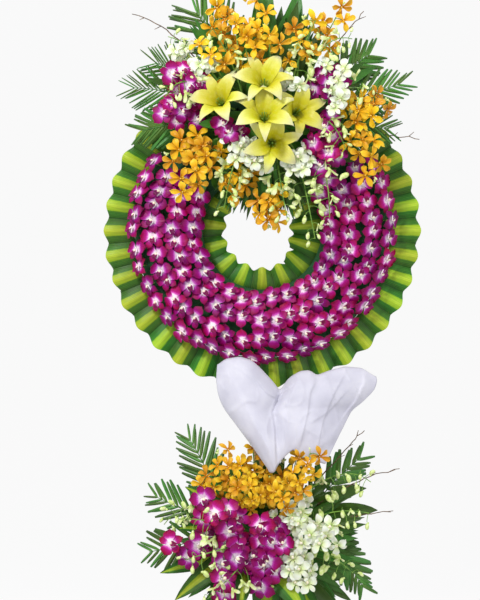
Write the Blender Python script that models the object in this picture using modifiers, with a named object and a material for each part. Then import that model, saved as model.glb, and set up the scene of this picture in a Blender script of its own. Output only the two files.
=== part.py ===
"""A funeral wreath on its wooden stand: a foam ring dressed with leaves and orchids, a spray of lilies and
orchids over its top, a tied white cloth, and a second spray below. Metres, +Z up, the front faces -Y."""

import math
import random

import bmesh
import bpy
from mathutils import Vector

# Driving dimensions. The origin is on the floor under the crossing of the base battens.
GAP = 0.0003  # left between solids that touch
FRONT = Vector((0, -1, 0))
UP = Vector((0, 0, 1))

RING_HEIGHT = 1.145  # of the ring's centre
RING_RADIUS = 0.400  # to the tips of the outer leaves
CORE_RADIUS = 0.236  # middle of the foam ring's band
CORE_HALF_WIDTH = 0.086
CORE_BACK = -0.036
CORE_EDGE = -0.062  # where the side walls turn into the domed front
CORE_DOME = 0.036  # how far the dome stands in front of the walls
CORE_STEPS = 36
CORE_ROW = 30  # degrees of the dome to each flat face of it

BATTEN_WIDTH = 0.044
BATTEN_HEIGHT = 0.030
SIDE_BATTEN_LENGTH = 0.560
FRONT_BATTEN_FRONT = -0.280
FRONT_BATTEN_BACK = 0.220
BOARD = 0.022  # thickness of the crossbars
MAST_DEPTH = 0.034
MAST_FRONT = CORE_BACK + BOARD + 2 * GAP
MAST_MIDDLE = MAST_FRONT + MAST_DEPTH / 2
CROSSBAR_REACH = 0.220  # from the ring's centre, up and down
CROSSBAR_LENGTH = 0.430
UPRIGHT_X = 0.198
SHELF_HEIGHT = 0.318
SHELF_THICKNESS = 0.018
SHELF_HALF_WIDTH = 0.085
SHELF_FRONT = -0.112
BRACKET_INSET = 0.020
BRACKET_HEIGHT = 0.100
BRACE_HEAD = 0.150
BRACE_FOOT = 0.145
BRACE_WIDTH = 0.040

OUTER_LEAVES = 38
OUTER_ARCS = 5
INNER_LEAVES = 15
INNER_ARCS = 5
INNER_RADIUS = 0.092
LEAF_THICKNESS = 0.0014
ARC_CLEARANCE = 0.0011  # half the space between two arcs of leaves

ORCHID_ARCS = 5
ORCHID_START = 55  # degrees clockwise from the top, where the band of orchids comes out of the upper spray
ORCHID_ARC = (360 - 2 * ORCHID_START) / ORCHID_ARCS
# Each row: place round the dome, lean of the stalks away from the front, blooms in an arc.
ORCHID_ROWS = ((52, 45, 5), (22, 18, 5), (-7, -6, 4), (-35, -25, 3))
ORCHID_STALK = 0.022
BED_LIFT = 0.0008  # of the moss bed off the foam
BED_THICKNESS = 0.0024
ORCHID_TILT = 15  # each bloom laps over the next one, as tiles do

UPPER_FOAM = ((-0.090, -0.172, 1.350), (0.115, -0.0985, 1.465))
LOWER_FOAM = ((-0.070, -0.110, SHELF_HEIGHT + GAP), (0.070, MAST_FRONT - GAP, 0.430))

STEM = 0.0026
HOLE_CLEARANCE = 0.0006
HOLE_DEPTH = 0.022
HOLE_FLOOR = 0.0005  # between a stem's foot and the bottom of its hole
CLEAR_OF_FOAM = 0.014

STALK_REACH = 0.019  # of a bloom's stalk in front of its branch
STALK_STEP = 0.006  # by which the blooms on the right stand further out than those on the left
STALK_SPREAD = 0.021
LAST_STALK = 0.985  # place of the last bloom along its branch
BLOOM_DISH = 0.004  # of the petals' tips and the bloom's middle in front of the hollows between the petals
BLOOM_NECK = 0.0045  # radius of the stalk's head, and how far it lies behind the bloom

PALM, LEAF = "palm", "leaf"
LEAFLETS = 6  # pairs in a frond
LEAFLET_SWEEP = 35
LEAFLET_DROOP = (0.12, 0.28)
LEAFLET_THICKNESS = 0.0012
RIB_HALF_WIDTH = 0.0022
BARE_STALK = 0.25  # share of a frond's stalk without leaflets
BUD_SIZE = 0.0095
BUD_TAPER = 0.003

# A bloom's petals as (angle from the top, reach, half angle of the broad end), and the reach of the hollows.
DENDROBIUM = {
    "petals": ((0, 0.031, 0), (72, 0.031, 17), (144, 0.029, 0), (216, 0.029, 0), (288, 0.031, 17)),
    "notch": 0.0145,
}
MOKARA = {
    "petals": ((0, 0.029, 0), (68, 0.029, 0), (140, 0.028, 0), (220, 0.028, 0), (292, 0.029, 0)),
    "notch": 0.0125,
}

COLOURS = {
    "wood": (0.52, 0.34, 0.18),
    "foam": (0.06, 0.14, 0.05),
    "collar": (0.10, 0.26, 0.05),
    "palm": (0.03, 0.14, 0.04),
    "magenta": (0.36, 0.01, 0.20),
    "orange": (0.92, 0.38, 0.02),
    "yellow": (0.88, 0.84, 0.18),
    "white": (0.82, 0.86, 0.68),
    "bud": (0.52, 0.68, 0.18),
    "cloth": (0.80, 0.79, 0.88),
}

draw = random.Random(7)
collection = bpy.data.collections.new("funeral_wreath")
foam_holes = {"upper": [], "lower": []}


def clear_scene():
    for item in list(bpy.data.objects):
        bpy.data.objects.remove(item)
    bpy.context.scene.collection.children.link(collection)


def material(name):
    found = bpy.data.materials.get(name)
    if found:
        return found
    made = bpy.data.materials.new(name)
    made.use_nodes = True
    surface = made.node_tree.nodes["Principled BSDF"]
    surface.inputs["Base Color"].default_value = (*COLOURS[name], 1)
    surface.inputs["Roughness"].default_value = 0.85 if name in ("wood", "foam", "cloth") else 0.5
    surface.inputs["Metallic"].default_value = 0
    made.diffuse_color = (*COLOURS[name], 1)
    return made


def finished(bm):
    """The bmesh as a mesh with its faces pointing out."""
    bmesh.ops.recalc_face_normals(bm, faces=bm.faces)
    mesh = bpy.data.meshes.new("piece")
    bm.to_mesh(mesh)
    bm.free()
    return mesh


def add_node(name, mesh, colour):
    node = bpy.data.objects.new(name, mesh)
    mesh.name = name
    mesh.materials.clear()
    mesh.materials.append(material(colour))
    collection.objects.link(node)
    return node


def boolean(node, meshes, operation):
    """Joins to the node, or cuts from it, every one of the meshes, and applies it."""
    helpers = bpy.data.collections.new(node.name + "_helpers")
    bpy.context.scene.collection.children.link(helpers)
    for mesh in meshes:
        helper = bpy.data.objects.new("helper", mesh)
        helper.hide_render = True
        helper.display_type = "WIRE"
        helpers.objects.link(helper)
    change = node.modifiers.new(operation.title(), "BOOLEAN")
    change.operation = operation
    change.operand_type = "COLLECTION"
    change.collection = helpers
    change.solver = "EXACT"
    graph = bpy.context.evaluated_depsgraph_get()
    result = bpy.data.meshes.new_from_object(node.evaluated_get(graph))
    node.modifiers.remove(change)
    colour = node.data.materials[0]
    node.data = result
    result.name = node.name
    result.materials.clear()
    result.materials.append(colour)
    for helper in list(helpers.objects):
        bpy.data.objects.remove(helper)
    bpy.data.collections.remove(helpers)


def fuse(name, meshes, colour):
    node = add_node(name, meshes[0], colour)
    boolean(node, meshes[1:], "UNION")
    return node


def box_mesh(low, high):
    bm = bmesh.new()
    bmesh.ops.create_cube(bm, size=1)
    size = [b - a for a, b in zip(low, high)]
    middle = [(a + b) / 2 for a, b in zip(low, high)]
    bmesh.ops.scale(bm, vec=size, verts=bm.verts)
    bmesh.ops.translate(bm, vec=middle, verts=bm.verts)
    return finished(bm)


def plate_mesh(outline, push):
    """A flat outline, given as points in space, pushed out to a thickness."""
    bm = bmesh.new()
    face = bm.faces.new([bm.verts.new(point) for point in outline])
    grown = bmesh.ops.extrude_face_region(bm, geom=[face])["geom"]
    moved = [item for item in grown if isinstance(item, bmesh.types.BMVert)]
    bmesh.ops.translate(bm, vec=push, verts=moved)
    return finished(bm)


def rod_mesh(points, radius):
    """A stem with four sides along the points."""
    curve = bpy.data.curves.new("rod", "CURVE")
    curve.dimensions = "3D"
    curve.bevel_depth = radius
    curve.bevel_resolution = 0
    curve.use_fill_caps = True
    spline = curve.splines.new("POLY")
    spline.points.add(len(points) - 1)
    for place, point in zip(spline.points, points):
        place.co = (*point, 1)
    holder = bpy.data.objects.new("rod", curve)
    bm = bmesh.new()
    bm.from_mesh(bpy.data.meshes.new_from_object(holder))
    bpy.data.objects.remove(holder)
    bmesh.ops.remove_doubles(bm, verts=bm.verts, dist=1e-6)
    bmesh.ops.triangulate(bm, faces=bm.faces)
    return finished(bm)


def bent_grid(columns, rows, place, thickness):
    """A sheet of columns x rows faces, each corner put where place(across, along) says, both from 0 to 1."""
    bm = bmesh.new()
    bmesh.ops.create_grid(bm, x_segments=columns, y_segments=rows, size=0.5)
    for corner in bm.verts:
        corner.co = place(corner.co.x + 0.5, corner.co.y + 0.5)
    bmesh.ops.triangulate(bm, faces=bm.faces)
    bmesh.ops.solidify(bm, geom=bm.faces[:], thickness=thickness)
    return finished(bm)


def route(start, middle, end, steps):
    """Points on the smooth curve from start to end that passes through middle."""
    start, middle, end = Vector(start), Vector(middle), Vector(end)
    pull = 2 * middle - (start + end) / 2
    points = []
    for step in range(steps + 1):
        t = step / steps
        points.append(start * (1 - t) ** 2 + pull * 2 * t * (1 - t) + end * t * t)
    return points


def along(points, fraction):
    """The place on a line of points, and the line's direction there."""
    reach = fraction * (len(points) - 1)
    first = min(int(reach), len(points) - 2)
    step = points[first + 1] - points[first]
    return points[first] + step * (reach - first), step.normalized()


def on_ring(angle, radius, depth):
    """A point by its angle in degrees clockwise from the ring's top, seen from the front."""
    turn = math.radians(angle)
    return Vector((radius * math.sin(turn), depth, RING_HEIGHT + radius * math.cos(turn)))


def bloom_mesh(kind, centre, facing, top, foot):
    """A bloom of petals with a raised middle, and behind it a three-sided stalk that ends in a point at foot."""
    facing = facing.normalized()
    right = top.cross(facing).normalized()
    top = facing.cross(right)

    def spot(angle, reach, lift):
        turn = math.radians(angle)
        return centre + right * math.sin(turn) * reach + top * math.cos(turn) * reach + facing * lift

    petals = kind["petals"]
    rim = []
    for index, (angle, reach, spread) in enumerate(petals):
        for side in (-1, 1) if spread else (0,):
            rim.append((angle + side * spread, spot(angle + side * spread, reach, BLOOM_DISH)))
        after = petals[(index + 1) % len(petals)][0] + (360 if index == len(petals) - 1 else 0)
        hollow = (angle + after) / 2
        rim.append((hollow, spot(hollow, kind["notch"], 0)))
    root_angles = (60, 180, 300)
    bm = bmesh.new()
    edge = [bm.verts.new(point) for _, point in rim]
    middle = bm.verts.new(spot(0, 0, BLOOM_DISH))
    root = [bm.verts.new(spot(angle, BLOOM_NECK, -BLOOM_NECK)) for angle in root_angles]
    end = bm.verts.new(foot)
    nearest = [min(int((angle % 360) // 120), 2) for angle, _ in rim]
    for index, corner in enumerate(edge):
        after = (index + 1) % len(edge)
        bm.faces.new((corner, edge[after], middle))
        bm.faces.new((edge[after], corner, root[nearest[index]]))
        if nearest[after] != nearest[index]:
            bm.faces.new((edge[after], root[nearest[index]], root[nearest[after]]))
    for index in range(3):
        after = (index + 1) % 3
        bm.faces.new((root[index], root[after], end))
    bmesh.ops.triangulate(bm, faces=bm.faces)
    return finished(bm)


def frond_mesh(spine, reach, hint):
    """One thin arched blade cut to its rib: a pair of leaflets to each step of the spine."""
    lean = math.radians(LEAFLET_SWEEP)
    leaflets = len(spine) - 1
    bm = bmesh.new()
    rows = {-1: [], 1: []}
    for step, point in enumerate(spine):
        across = along(spine, step / leaflets)[1].cross(hint).normalized()
        for side, row in rows.items():
            row.append(bm.verts.new(point + across * side * RIB_HALF_WIDTH))
    for step in range(leaflets):
        left, right = rows[-1], rows[1]
        bm.faces.new((left[step], right[step], right[step + 1], left[step + 1]))
        middle, onward = along(spine, (step + 0.5) / leaflets)
        across = onward.cross(hint).normalized()
        length = reach * (0.62 + 0.38 * math.sin(math.pi * (step + 1) / leaflets))
        for side, row in rows.items():
            tip = middle + length * (across * side * math.cos(lean) + onward * math.sin(lean))
            tip = tip - hint * length * draw.uniform(*LEAFLET_DROOP)
            bm.faces.new((row[step], bm.verts.new(tip), row[step + 1]))
    end, onward = along(spine, 1)
    bm.faces.new((rows[-1][-1], rows[1][-1], bm.verts.new(end + onward * reach * 0.7)))
    bmesh.ops.triangulate(bm, faces=bm.faces)
    bmesh.ops.recalc_face_normals(bm, faces=bm.faces)
    bmesh.ops.solidify(bm, geom=bm.faces[:], thickness=LEAFLET_THICKNESS)
    return finished(bm)


def leaf_mesh(spine, half_width, hint):
    """A long leaf folded a little along its rib and pointed at its tip."""
    rows = len(spine) - 1
    bm = bmesh.new()
    previous = None
    for step in range(rows):
        fraction = step / rows
        point, onward = along(spine, fraction)
        across = onward.cross(hint).normalized()
        width = half_width * (0.35 + 0.65 * math.sin(math.pi * (0.1 + 0.75 * fraction)))
        corners = (point - across * width, point - hint * width * 0.25, point + across * width)
        current = [bm.verts.new(corner) for corner in corners]
        if previous:
            for side in (0, 1):
                bm.faces.new((previous[side], previous[side + 1], current[side + 1], current[side]))
        previous = current
    tip = bm.verts.new(spine[-1])
    for side in (0, 1):
        bm.faces.new((previous[side], previous[side + 1], tip))
    bmesh.ops.triangulate(bm, faces=bm.faces)
    bmesh.ops.recalc_face_normals(bm, faces=bm.faces)
    bmesh.ops.solidify(bm, geom=bm.faces[:], thickness=LEAFLET_THICKNESS)
    return finished(bm)


def bud_mesh(place, size):
    bm = bmesh.new()
    bmesh.ops.create_uvsphere(bm, u_segments=4, v_segments=2, radius=size)
    bmesh.ops.scale(bm, vec=(0.7, 0.7, 1), verts=bm.verts)
    bmesh.ops.translate(bm, vec=place, verts=bm.verts)
    return finished(bm)


def foam_exit(block, hole, out):
    """Keeps a hole for the block, and gives the stem's foot in it and its first place clear of the block."""
    hole, out = Vector(hole), Vector(out).normalized()
    foam_holes[block].append((hole, out))
    return hole - out * (HOLE_DEPTH - HOLE_FLOOR), hole + out * CLEAR_OF_FOAM


def branch(fork, middle, tip, count, first, kind):
    """A flowering branch: its stem, and blooms on short stalks to the left and right by turns."""
    points = route(fork, middle, tip, 3)
    meshes = [rod_mesh(points, STEM)]
    for index in range(count):
        fraction = first + (LAST_STALK - first) * index / max(count - 1, 1)
        foot, onward = along(points, fraction)
        across = onward.cross(FRONT).normalized()
        side = 1 if index % 2 else -1
        centre = foot + across * side * STALK_SPREAD + FRONT * (STALK_REACH + side * STALK_STEP)
        facing = FRONT + across * side * 0.22 + onward * (0.05 + 0.15 * draw.random())
        top = onward + across * side * 0.5 + across * draw.uniform(-0.3, 0.3)
        meshes.append(bloom_mesh(kind, centre, facing, top, foot))
    return meshes


def bunch(name, block, hole, out, branches, kind, colour):
    """Flowering branches that leave the foam as one stem."""
    foot, fork = foam_exit(block, hole, out)
    fork = fork + Vector(out).normalized() * 0.006
    meshes = [rod_mesh((foot, fork + Vector(out).normalized() * 0.002), STEM * 1.15)]
    for middle, tip, count, first in branches:
        meshes += branch(fork, middle, tip, count, first, kind)
    return fuse(name, meshes, colour)


def fronds(name, block, hole, out, blades, colour="palm"):
    """Palm fronds and broad leaves that leave the foam together."""
    foot, fork = foam_exit(block, hole, out)
    meshes = [rod_mesh((foot, fork + Vector(out).normalized() * 0.004), STEM * 1.15)]
    for kind, middle, tip, size in blades:
        if kind == PALM:
            spine = route(fork, middle, tip, LEAFLETS)
            meshes.append(rod_mesh((spine[0], spine[1], along(spine, BARE_STALK)[0]), STEM * 0.8))
            first = BARE_STALK - 0.02
            leafy = [along(spine, first + (1 - BARE_STALK) * step / LEAFLETS)[0] for step in range(LEAFLETS + 1)]
            meshes.append(frond_mesh(leafy, size, FRONT))
        else:
            meshes.append(leaf_mesh(route(fork, middle, tip, 3), size, FRONT))
    return fuse(name, meshes, colour)


def bud_spray(name, block, hole, out, branches):
    """Thin sprays of unopened buds that leave the foam as one stem."""
    foot, fork = foam_exit(block, hole, out)
    meshes = [rod_mesh((foot, fork + Vector(out).normalized() * 0.004), STEM)]
    for middle, tip, buds in branches:
        points = route(fork, middle, tip, 3)
        meshes.append(rod_mesh(points, STEM * 0.7))
        for index in range(buds):
            foot, onward = along(points, 0.35 + 0.6 * index / max(buds - 1, 1))
            across = onward.cross(FRONT).normalized()
            side = 1 if index % 2 else -1
            size = BUD_SIZE - BUD_TAPER * index / buds
            meshes.append(bud_mesh(foot + across * side * size * 0.5 + FRONT * size * 0.2, size))
    return fuse(name, meshes, "bud")


def make_stand():
    half = BATTEN_WIDTH / 2
    lap = BATTEN_HEIGHT / 2
    front_low = (-half, FRONT_BATTEN_FRONT, 0)
    front_high = (half, FRONT_BATTEN_BACK, BATTEN_HEIGHT)
    front_batten = add_node("base_batten_front", box_mesh(front_low, front_high), "wood")
    side_low = (-SIDE_BATTEN_LENGTH / 2, MAST_MIDDLE - half, 0)
    side_high = (SIDE_BATTEN_LENGTH / 2, MAST_MIDDLE + half, BATTEN_HEIGHT)
    side_batten = add_node("base_batten_side", box_mesh(side_low, side_high), "wood")
    reach = half + GAP
    over = ((-reach, MAST_MIDDLE - reach, lap - GAP / 2), (reach, MAST_MIDDLE + reach, 2 * BATTEN_HEIGHT))
    under = ((-reach, MAST_MIDDLE - reach, -BATTEN_HEIGHT), (reach, MAST_MIDDLE + reach, lap + GAP / 2))
    boolean(front_batten, [box_mesh(*over)], "DIFFERENCE")
    boolean(side_batten, [box_mesh(*under)], "DIFFERENCE")

    low_bar = RING_HEIGHT - CROSSBAR_REACH
    mast_low = (-half, MAST_FRONT, BATTEN_HEIGHT + GAP)
    mast_high = (half, MAST_FRONT + MAST_DEPTH, low_bar + half)
    add_node("mast", box_mesh(mast_low, mast_high), "wood")
    for name, height in (("crossbar_lower", low_bar), ("crossbar_upper", RING_HEIGHT + CROSSBAR_REACH)):
        low = (-CROSSBAR_LENGTH / 2, CORE_BACK + GAP, height - half)
        high = (CROSSBAR_LENGTH / 2, CORE_BACK + GAP + BOARD, height + half)
        add_node(name, box_mesh(low, high), "wood")
    post = BOARD * 0.8
    for name, side in (("upright_left", -1), ("upright_right", 1)):
        low = (side * UPRIGHT_X - post, MAST_FRONT, low_bar - half)
        high = (side * UPRIGHT_X + post, MAST_FRONT + MAST_DEPTH, RING_HEIGHT + CROSSBAR_REACH + half)
        add_node(name, box_mesh(low, high), "wood")

    top = BATTEN_HEIGHT + GAP
    inner = half + GAP
    for name, side in (("brace_left", -1), ("brace_right", 1)):
        corners = ((inner, BRACE_HEAD), (inner, BRACE_HEAD + BRACE_WIDTH))
        corners += ((BRACE_FOOT + BRACE_WIDTH, top), (BRACE_FOOT, top))
        outline = [(side * x, MAST_MIDDLE - BOARD / 2, z) for x, z in corners]
        add_node(name, plate_mesh(outline, (0, BOARD, 0)), "wood")

    shelf_low = (-SHELF_HALF_WIDTH, SHELF_FRONT, SHELF_HEIGHT - SHELF_THICKNESS)
    shelf_high = (SHELF_HALF_WIDTH, MAST_FRONT - GAP, SHELF_HEIGHT)
    add_node("lower_shelf", box_mesh(shelf_low, shelf_high), "wood")
    under_shelf = SHELF_HEIGHT - SHELF_THICKNESS - GAP
    back = MAST_FRONT - GAP
    corners = ((back, under_shelf), (SHELF_FRONT + BRACKET_INSET, under_shelf), (back, under_shelf - BRACKET_HEIGHT))
    outline = [(-SHELF_THICKNESS / 2, y, z) for y, z in corners]
    add_node("shelf_bracket", plate_mesh(outline, (SHELF_THICKNESS, 0, 0)), "wood")


def dome_point(turn, lift=0.0):
    """Radius and depth on the foam ring's domed front, by degrees out from its crest."""
    place = math.radians(turn)
    radius = CORE_RADIUS + (CORE_HALF_WIDTH + lift) * math.sin(place)
    return radius, CORE_EDGE - (CORE_DOME + lift) * math.cos(place)


def make_ring_core():
    """A turned profile, run down its outer side, spun about the ring's axis."""
    profile = [(CORE_RADIUS + CORE_HALF_WIDTH, CORE_BACK)]
    profile += [dome_point(90 - CORE_ROW * step) for step in range(180 // CORE_ROW + 1)]
    profile.append((CORE_RADIUS - CORE_HALF_WIDTH, CORE_BACK))
    bm = bmesh.new()
    corners = [bm.verts.new((radius, depth, 0)) for radius, depth in profile]
    for index in range(len(corners)):
        bm.edges.new((corners[index], corners[(index + 1) % len(corners)]))
    mesh = bpy.data.meshes.new("profile")
    bm.to_mesh(mesh)
    bm.free()
    core = add_node("ring_core", mesh, "foam")
    core.location = (0, 0, RING_HEIGHT)
    core.rotation_euler = (0, math.radians(ORCHID_START), 0)
    turned = core.modifiers.new("Turn", "SCREW")
    turned.axis = "Y"
    turned.steps = turned.render_steps = CORE_STEPS
    turned.use_merge_vertices = True
    turned.merge_threshold = 0.00005
    turned.use_normal_calculate = True


def make_collars():
    for arc in range(OUTER_ARCS):
        first = round(arc * OUTER_LEAVES / OUTER_ARCS)
        last = round((arc + 1) * OUTER_LEAVES / OUTER_ARCS)
        collar = collar_mesh(first, last, OUTER_LEAVES, outer_collar)
        add_node(f"outer_leaves_{arc + 1}", collar, "collar")
    for arc in range(INNER_ARCS):
        count = INNER_LEAVES // INNER_ARCS
        first = arc * count + (INNER_LEAVES - count) / 2
        collar = collar_mesh(first, first + count, INNER_LEAVES, inner_collar)
        add_node(f"inner_leaves_{arc + 1}", collar, "collar")


def collar_mesh(first, last, leaves, section):
    """Folded leaves side by side round the ring. Of a leaf's three columns one is in the valley, two on the crest."""
    columns = round((last - first) * 3)
    pitch = 360 / leaves
    trim = math.degrees(ARC_CLEARANCE / section(1, True)[0])

    def place(across, out):
        column = round(across * columns)
        angle = (first + column / 3) * pitch
        if column == 0:
            angle += trim
        if column == columns:
            angle -= trim
        radius, depth = section(out, column % 3 != 0)
        return on_ring(angle, radius, depth)

    return bent_grid(columns, 1, place, LEAF_THICKNESS)


def outer_collar(out, crest):
    inner = CORE_RADIUS + CORE_HALF_WIDTH + 0.0008
    tip = RING_RADIUS if crest else RING_RADIUS - 0.011
    fold = (0.003 + 0.007 * out) * (1 if crest else -1)
    return inner + (tip - inner) * out, -0.053 - fold


def inner_collar(out, crest):
    outer = CORE_RADIUS - CORE_HALF_WIDTH - 0.0014
    tip = INNER_RADIUS if crest else INNER_RADIUS + 0.012
    fold = (0.002 + 0.006 * out) * (1 if crest else -1)
    return outer + (tip - outer) * out, -0.057 - fold


def make_ring_orchids():
    for arc in range(ORCHID_ARCS):
        start = ORCHID_START + arc * ORCHID_ARC
        meshes = [orchid_bed(start)]
        for row, (turn, lean, count) in enumerate(ORCHID_ROWS):
            for index in range(count):
                shift = 0.3 if row % 2 else 0.7
                angle = start + ORCHID_ARC * (index + shift) / count
                meshes.append(ring_bloom(angle, turn, lean))
        fuse(f"ring_orchids_{arc + 1}", meshes, "magenta")


def orchid_bed(start):
    """The thin bed of moss that the blooms of an arc are pinned on, along the faces of the foam's dome."""
    def place(across, out):
        edge = 0.15 * (1 - 2 * across) if across in (0, 1) else 0
        radius, depth = dome_point(-2 * CORE_ROW + 4 * CORE_ROW * out, BED_LIFT + BED_THICKNESS)
        return on_ring(start + ORCHID_ARC * across + edge, radius, depth)

    return bent_grid(round(ORCHID_ARC * CORE_STEPS / 360), 4, place, BED_THICKNESS)


def over_foam(angle, turn, lift):
    """A point over the flat face of the foam ring that lies at an angle round it and a turn of its dome."""
    pitch = 360 / CORE_STEPS
    row, row_share = divmod(turn, CORE_ROW)
    step, step_share = divmod(angle - ORCHID_START, pitch)
    point = Vector()
    for dome, dome_share in ((row, 1 - row_share / CORE_ROW), (row + 1, row_share / CORE_ROW)):
        radius, depth = dome_point(dome * CORE_ROW, lift)
        for turned, share in ((step, 1 - step_share / pitch), (step + 1, step_share / pitch)):
            point += on_ring(ORCHID_START + turned * pitch, radius, depth) * dome_share * share
    return point


def ring_bloom(angle, turn, lean):
    """One orchid of the ring. Its lip points along the ring, so that the whole band runs round it."""
    foot = over_foam(angle, turn, BED_LIFT + BED_THICKNESS * 0.3)
    tilt = math.radians(lean + draw.uniform(-3, 3))
    out = on_ring(angle, 1, 0) - on_ring(angle, 0, 0)
    stalk = FRONT * math.cos(tilt) + out * math.sin(tilt)
    centre = foot + stalk * ORCHID_STALK
    lip = Vector((-math.cos(math.radians(angle)), 0, math.sin(math.radians(angle))))
    lap = math.radians(ORCHID_TILT)
    facing = stalk * math.cos(lap) - lip * math.sin(lap)
    top = out * draw.uniform(-0.25, 0.25) - lip
    return bloom_mesh(DENDROBIUM, centre, facing, top, foot)


# Radii and heights over the throat. A kind of petal has its half angle, shoulder height and tip height.
LILY = {
    "mouth": 0.024, "mouth_lift": 0.026, "shoulder": 0.052, "rib_depth": 0.005, "reach": 0.078,
    "broad": (20, 0.044, 0.028), "slim": (15, 0.038, 0.022),
}


def lily_mesh(centre, facing, turn, size):
    """A trumpet of six petals in one sheet, parted above the throat and curled back."""
    facing = Vector(facing).normalized()
    right = UP.cross(facing).normalized()
    top = facing.cross(right)
    bm = bmesh.new()

    def spot(angle, radius, lift):
        place = math.radians(angle + turn)
        return bm.verts.new(centre + size * (right * math.sin(place) * radius + top * math.cos(place) * radius
                                             + facing * lift))

    base = bm.verts.new(centre)
    high = [spot(30 * step, LILY["mouth"], LILY["mouth_lift"]) for step in range(12)]
    for step in range(12):
        bm.faces.new((base, high[(step + 1) % 12], high[step]))
    for petal in range(6):
        broad = petal % 2 == 0
        at = 60 * petal
        width, rise, tip_rise = LILY["broad"] if broad else LILY["slim"]
        left, middle, right_side = high[(2 * petal - 1) % 12], high[2 * petal], high[(2 * petal + 1) % 12]
        shoulder = LILY["shoulder"]
        far = [spot(at + side * width, shoulder, rise - (0 if side else LILY["rib_depth"])) for side in (-1, 0, 1)]
        tip = spot(at, LILY["reach"], tip_rise)
        bm.faces.new((left, middle, far[1], far[0]))
        bm.faces.new((middle, right_side, far[2], far[1]))
        bm.faces.new((far[0], far[1], tip))
        bm.faces.new((far[1], far[2], tip))
    bmesh.ops.triangulate(bm, faces=bm.faces)
    bmesh.ops.recalc_face_normals(bm, faces=bm.faces)
    bmesh.ops.solidify(bm, geom=bm.faces[:], thickness=LEAF_THICKNESS * size)
    return finished(bm)


# Each lily's hole in the block's front, throat, facing, turn and size.
LILIES = (
    ((-0.062, 1.440), (-0.098, -0.222, 1.464), (-0.36, -1, 0.08), 25, 0.96),
    ((0.005, 1.450), (0.004, -0.224, 1.508), (-0.02, -1, 0.42), 0, 0.98),
    ((0.080, 1.425), (0.084, -0.212, 1.436), (0.45, -1, 0.05), 10, 0.96),
    ((0.045, 1.375), (0.028, -0.226, 1.352), (0.08, -1, -0.36), 0, 0.94),
    ((0.000, 1.405), (0.003, -0.262, 1.422), (0, -1, 0.05), 30, 1.06),
)


def make_lilies():
    block_front = UPPER_FOAM[0][1]
    for index, ((x, z), throat, facing, turn, size) in enumerate(LILIES):
        foot, clear = foam_exit("upper", (x, block_front, z), FRONT)
        throat, facing = Vector(throat), Vector(facing).normalized()
        stem = rod_mesh((foot, clear, throat + facing * 0.003), STEM)
        trumpet = lily_mesh(throat, facing, turn, size)
        fuse(f"lily_{index + 1}", [trumpet, stem], "yellow")


LEFT, RIGHT, DOWN = (-1, 0, 0), (1, 0, 0), (0, 0, -1)

UPPER_BUNCHES = (
    {"name": "mokara_top_left", "hole": (-0.050, -0.138, 1.465), "out": UP, "kind": MOKARA, "colour": "orange",
     "branches": (
         ((-0.110, -0.150, 1.600), (-0.150, -0.150, 1.690), 5, 0.42),
         ((-0.068, -0.186, 1.610), (-0.072, -0.180, 1.700), 5, 0.42),
         ((-0.120, -0.190, 1.560), (-0.150, -0.182, 1.610), 2, 0.75),
     )},
    {"name": "mokara_top_middle", "hole": (0.020, -0.138, 1.465), "out": UP, "kind": MOKARA, "colour": "orange",
     "branches": (
         ((0.005, -0.162, 1.610), (0.008, -0.150, 1.735), 7, 0.38),
         ((0.052, -0.198, 1.590), (0.068, -0.190, 1.668), 4, 0.45),
     )},
    {"name": "mokara_top_right", "hole": (0.085, -0.138, 1.465), "out": UP, "kind": MOKARA, "colour": "orange",
     "branches": (
         ((0.125, -0.160, 1.590), (0.195, -0.155, 1.695), 7, 0.36),
     )},
    {"name": "mokara_left", "hole": (-0.090, -0.150, 1.372), "out": LEFT, "kind": MOKARA, "colour": "orange",
     "branches": (
         ((-0.140, -0.188, 1.320), (-0.200, -0.185, 1.235), 5, 0.35),
         ((-0.160, -0.156, 1.352), (-0.230, -0.156, 1.335), 4, 0.35),
     )},
    {"name": "mokara_hanging", "hole": (0.010, -0.145, 1.350), "out": DOWN, "kind": MOKARA, "colour": "orange",
     "branches": (
         ((0.014, -0.165, 1.230), (0.014, -0.155, 1.160), 4, 0.52),
         ((-0.050, -0.160, 1.290), (-0.070, -0.155, 1.235), 4, 0.40),
     )},
    {"name": "mokara_right", "hole": (0.115, -0.150, 1.405), "out": RIGHT, "kind": MOKARA, "colour": "orange",
     "branches": (
         ((0.220, -0.168, 1.430), (0.300, -0.150, 1.462), 5, 0.45),
         ((0.232, -0.168, 1.378), (0.276, -0.155, 1.278), 5, 0.42),
     )},
    {"name": "purple_left", "hole": (-0.090, -0.150, 1.430), "out": LEFT, "kind": DENDROBIUM, "colour": "magenta",
     "branches": (
         ((-0.160, -0.185, 1.480), (-0.225, -0.180, 1.525), 4, 0.35),
         ((-0.175, -0.160, 1.436), (-0.245, -0.155, 1.430), 4, 0.30),
     )},
    {"name": "purple_right", "hole": (0.115, -0.155, 1.362), "out": RIGHT, "kind": DENDROBIUM, "colour": "magenta",
     "branches": (
         ((0.160, -0.178, 1.345), (0.160, -0.165, 1.265), 4, 0.30),
     )},
    {"name": "purple_top", "hole": (0.115, -0.155, 1.438), "out": RIGHT, "kind": DENDROBIUM, "colour": "magenta",
     "branches": (
         ((0.150, -0.185, 1.490), (0.190, -0.170, 1.525), 4, 0.35),
     )},
    {"name": "white_low", "hole": (-0.040, -0.172, 1.372), "out": FRONT, "kind": DENDROBIUM, "colour": "white",
     "branches": (
         ((-0.055, -0.205, 1.355), (-0.045, -0.205, 1.322), 3, 0.45),
     )},
)


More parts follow.
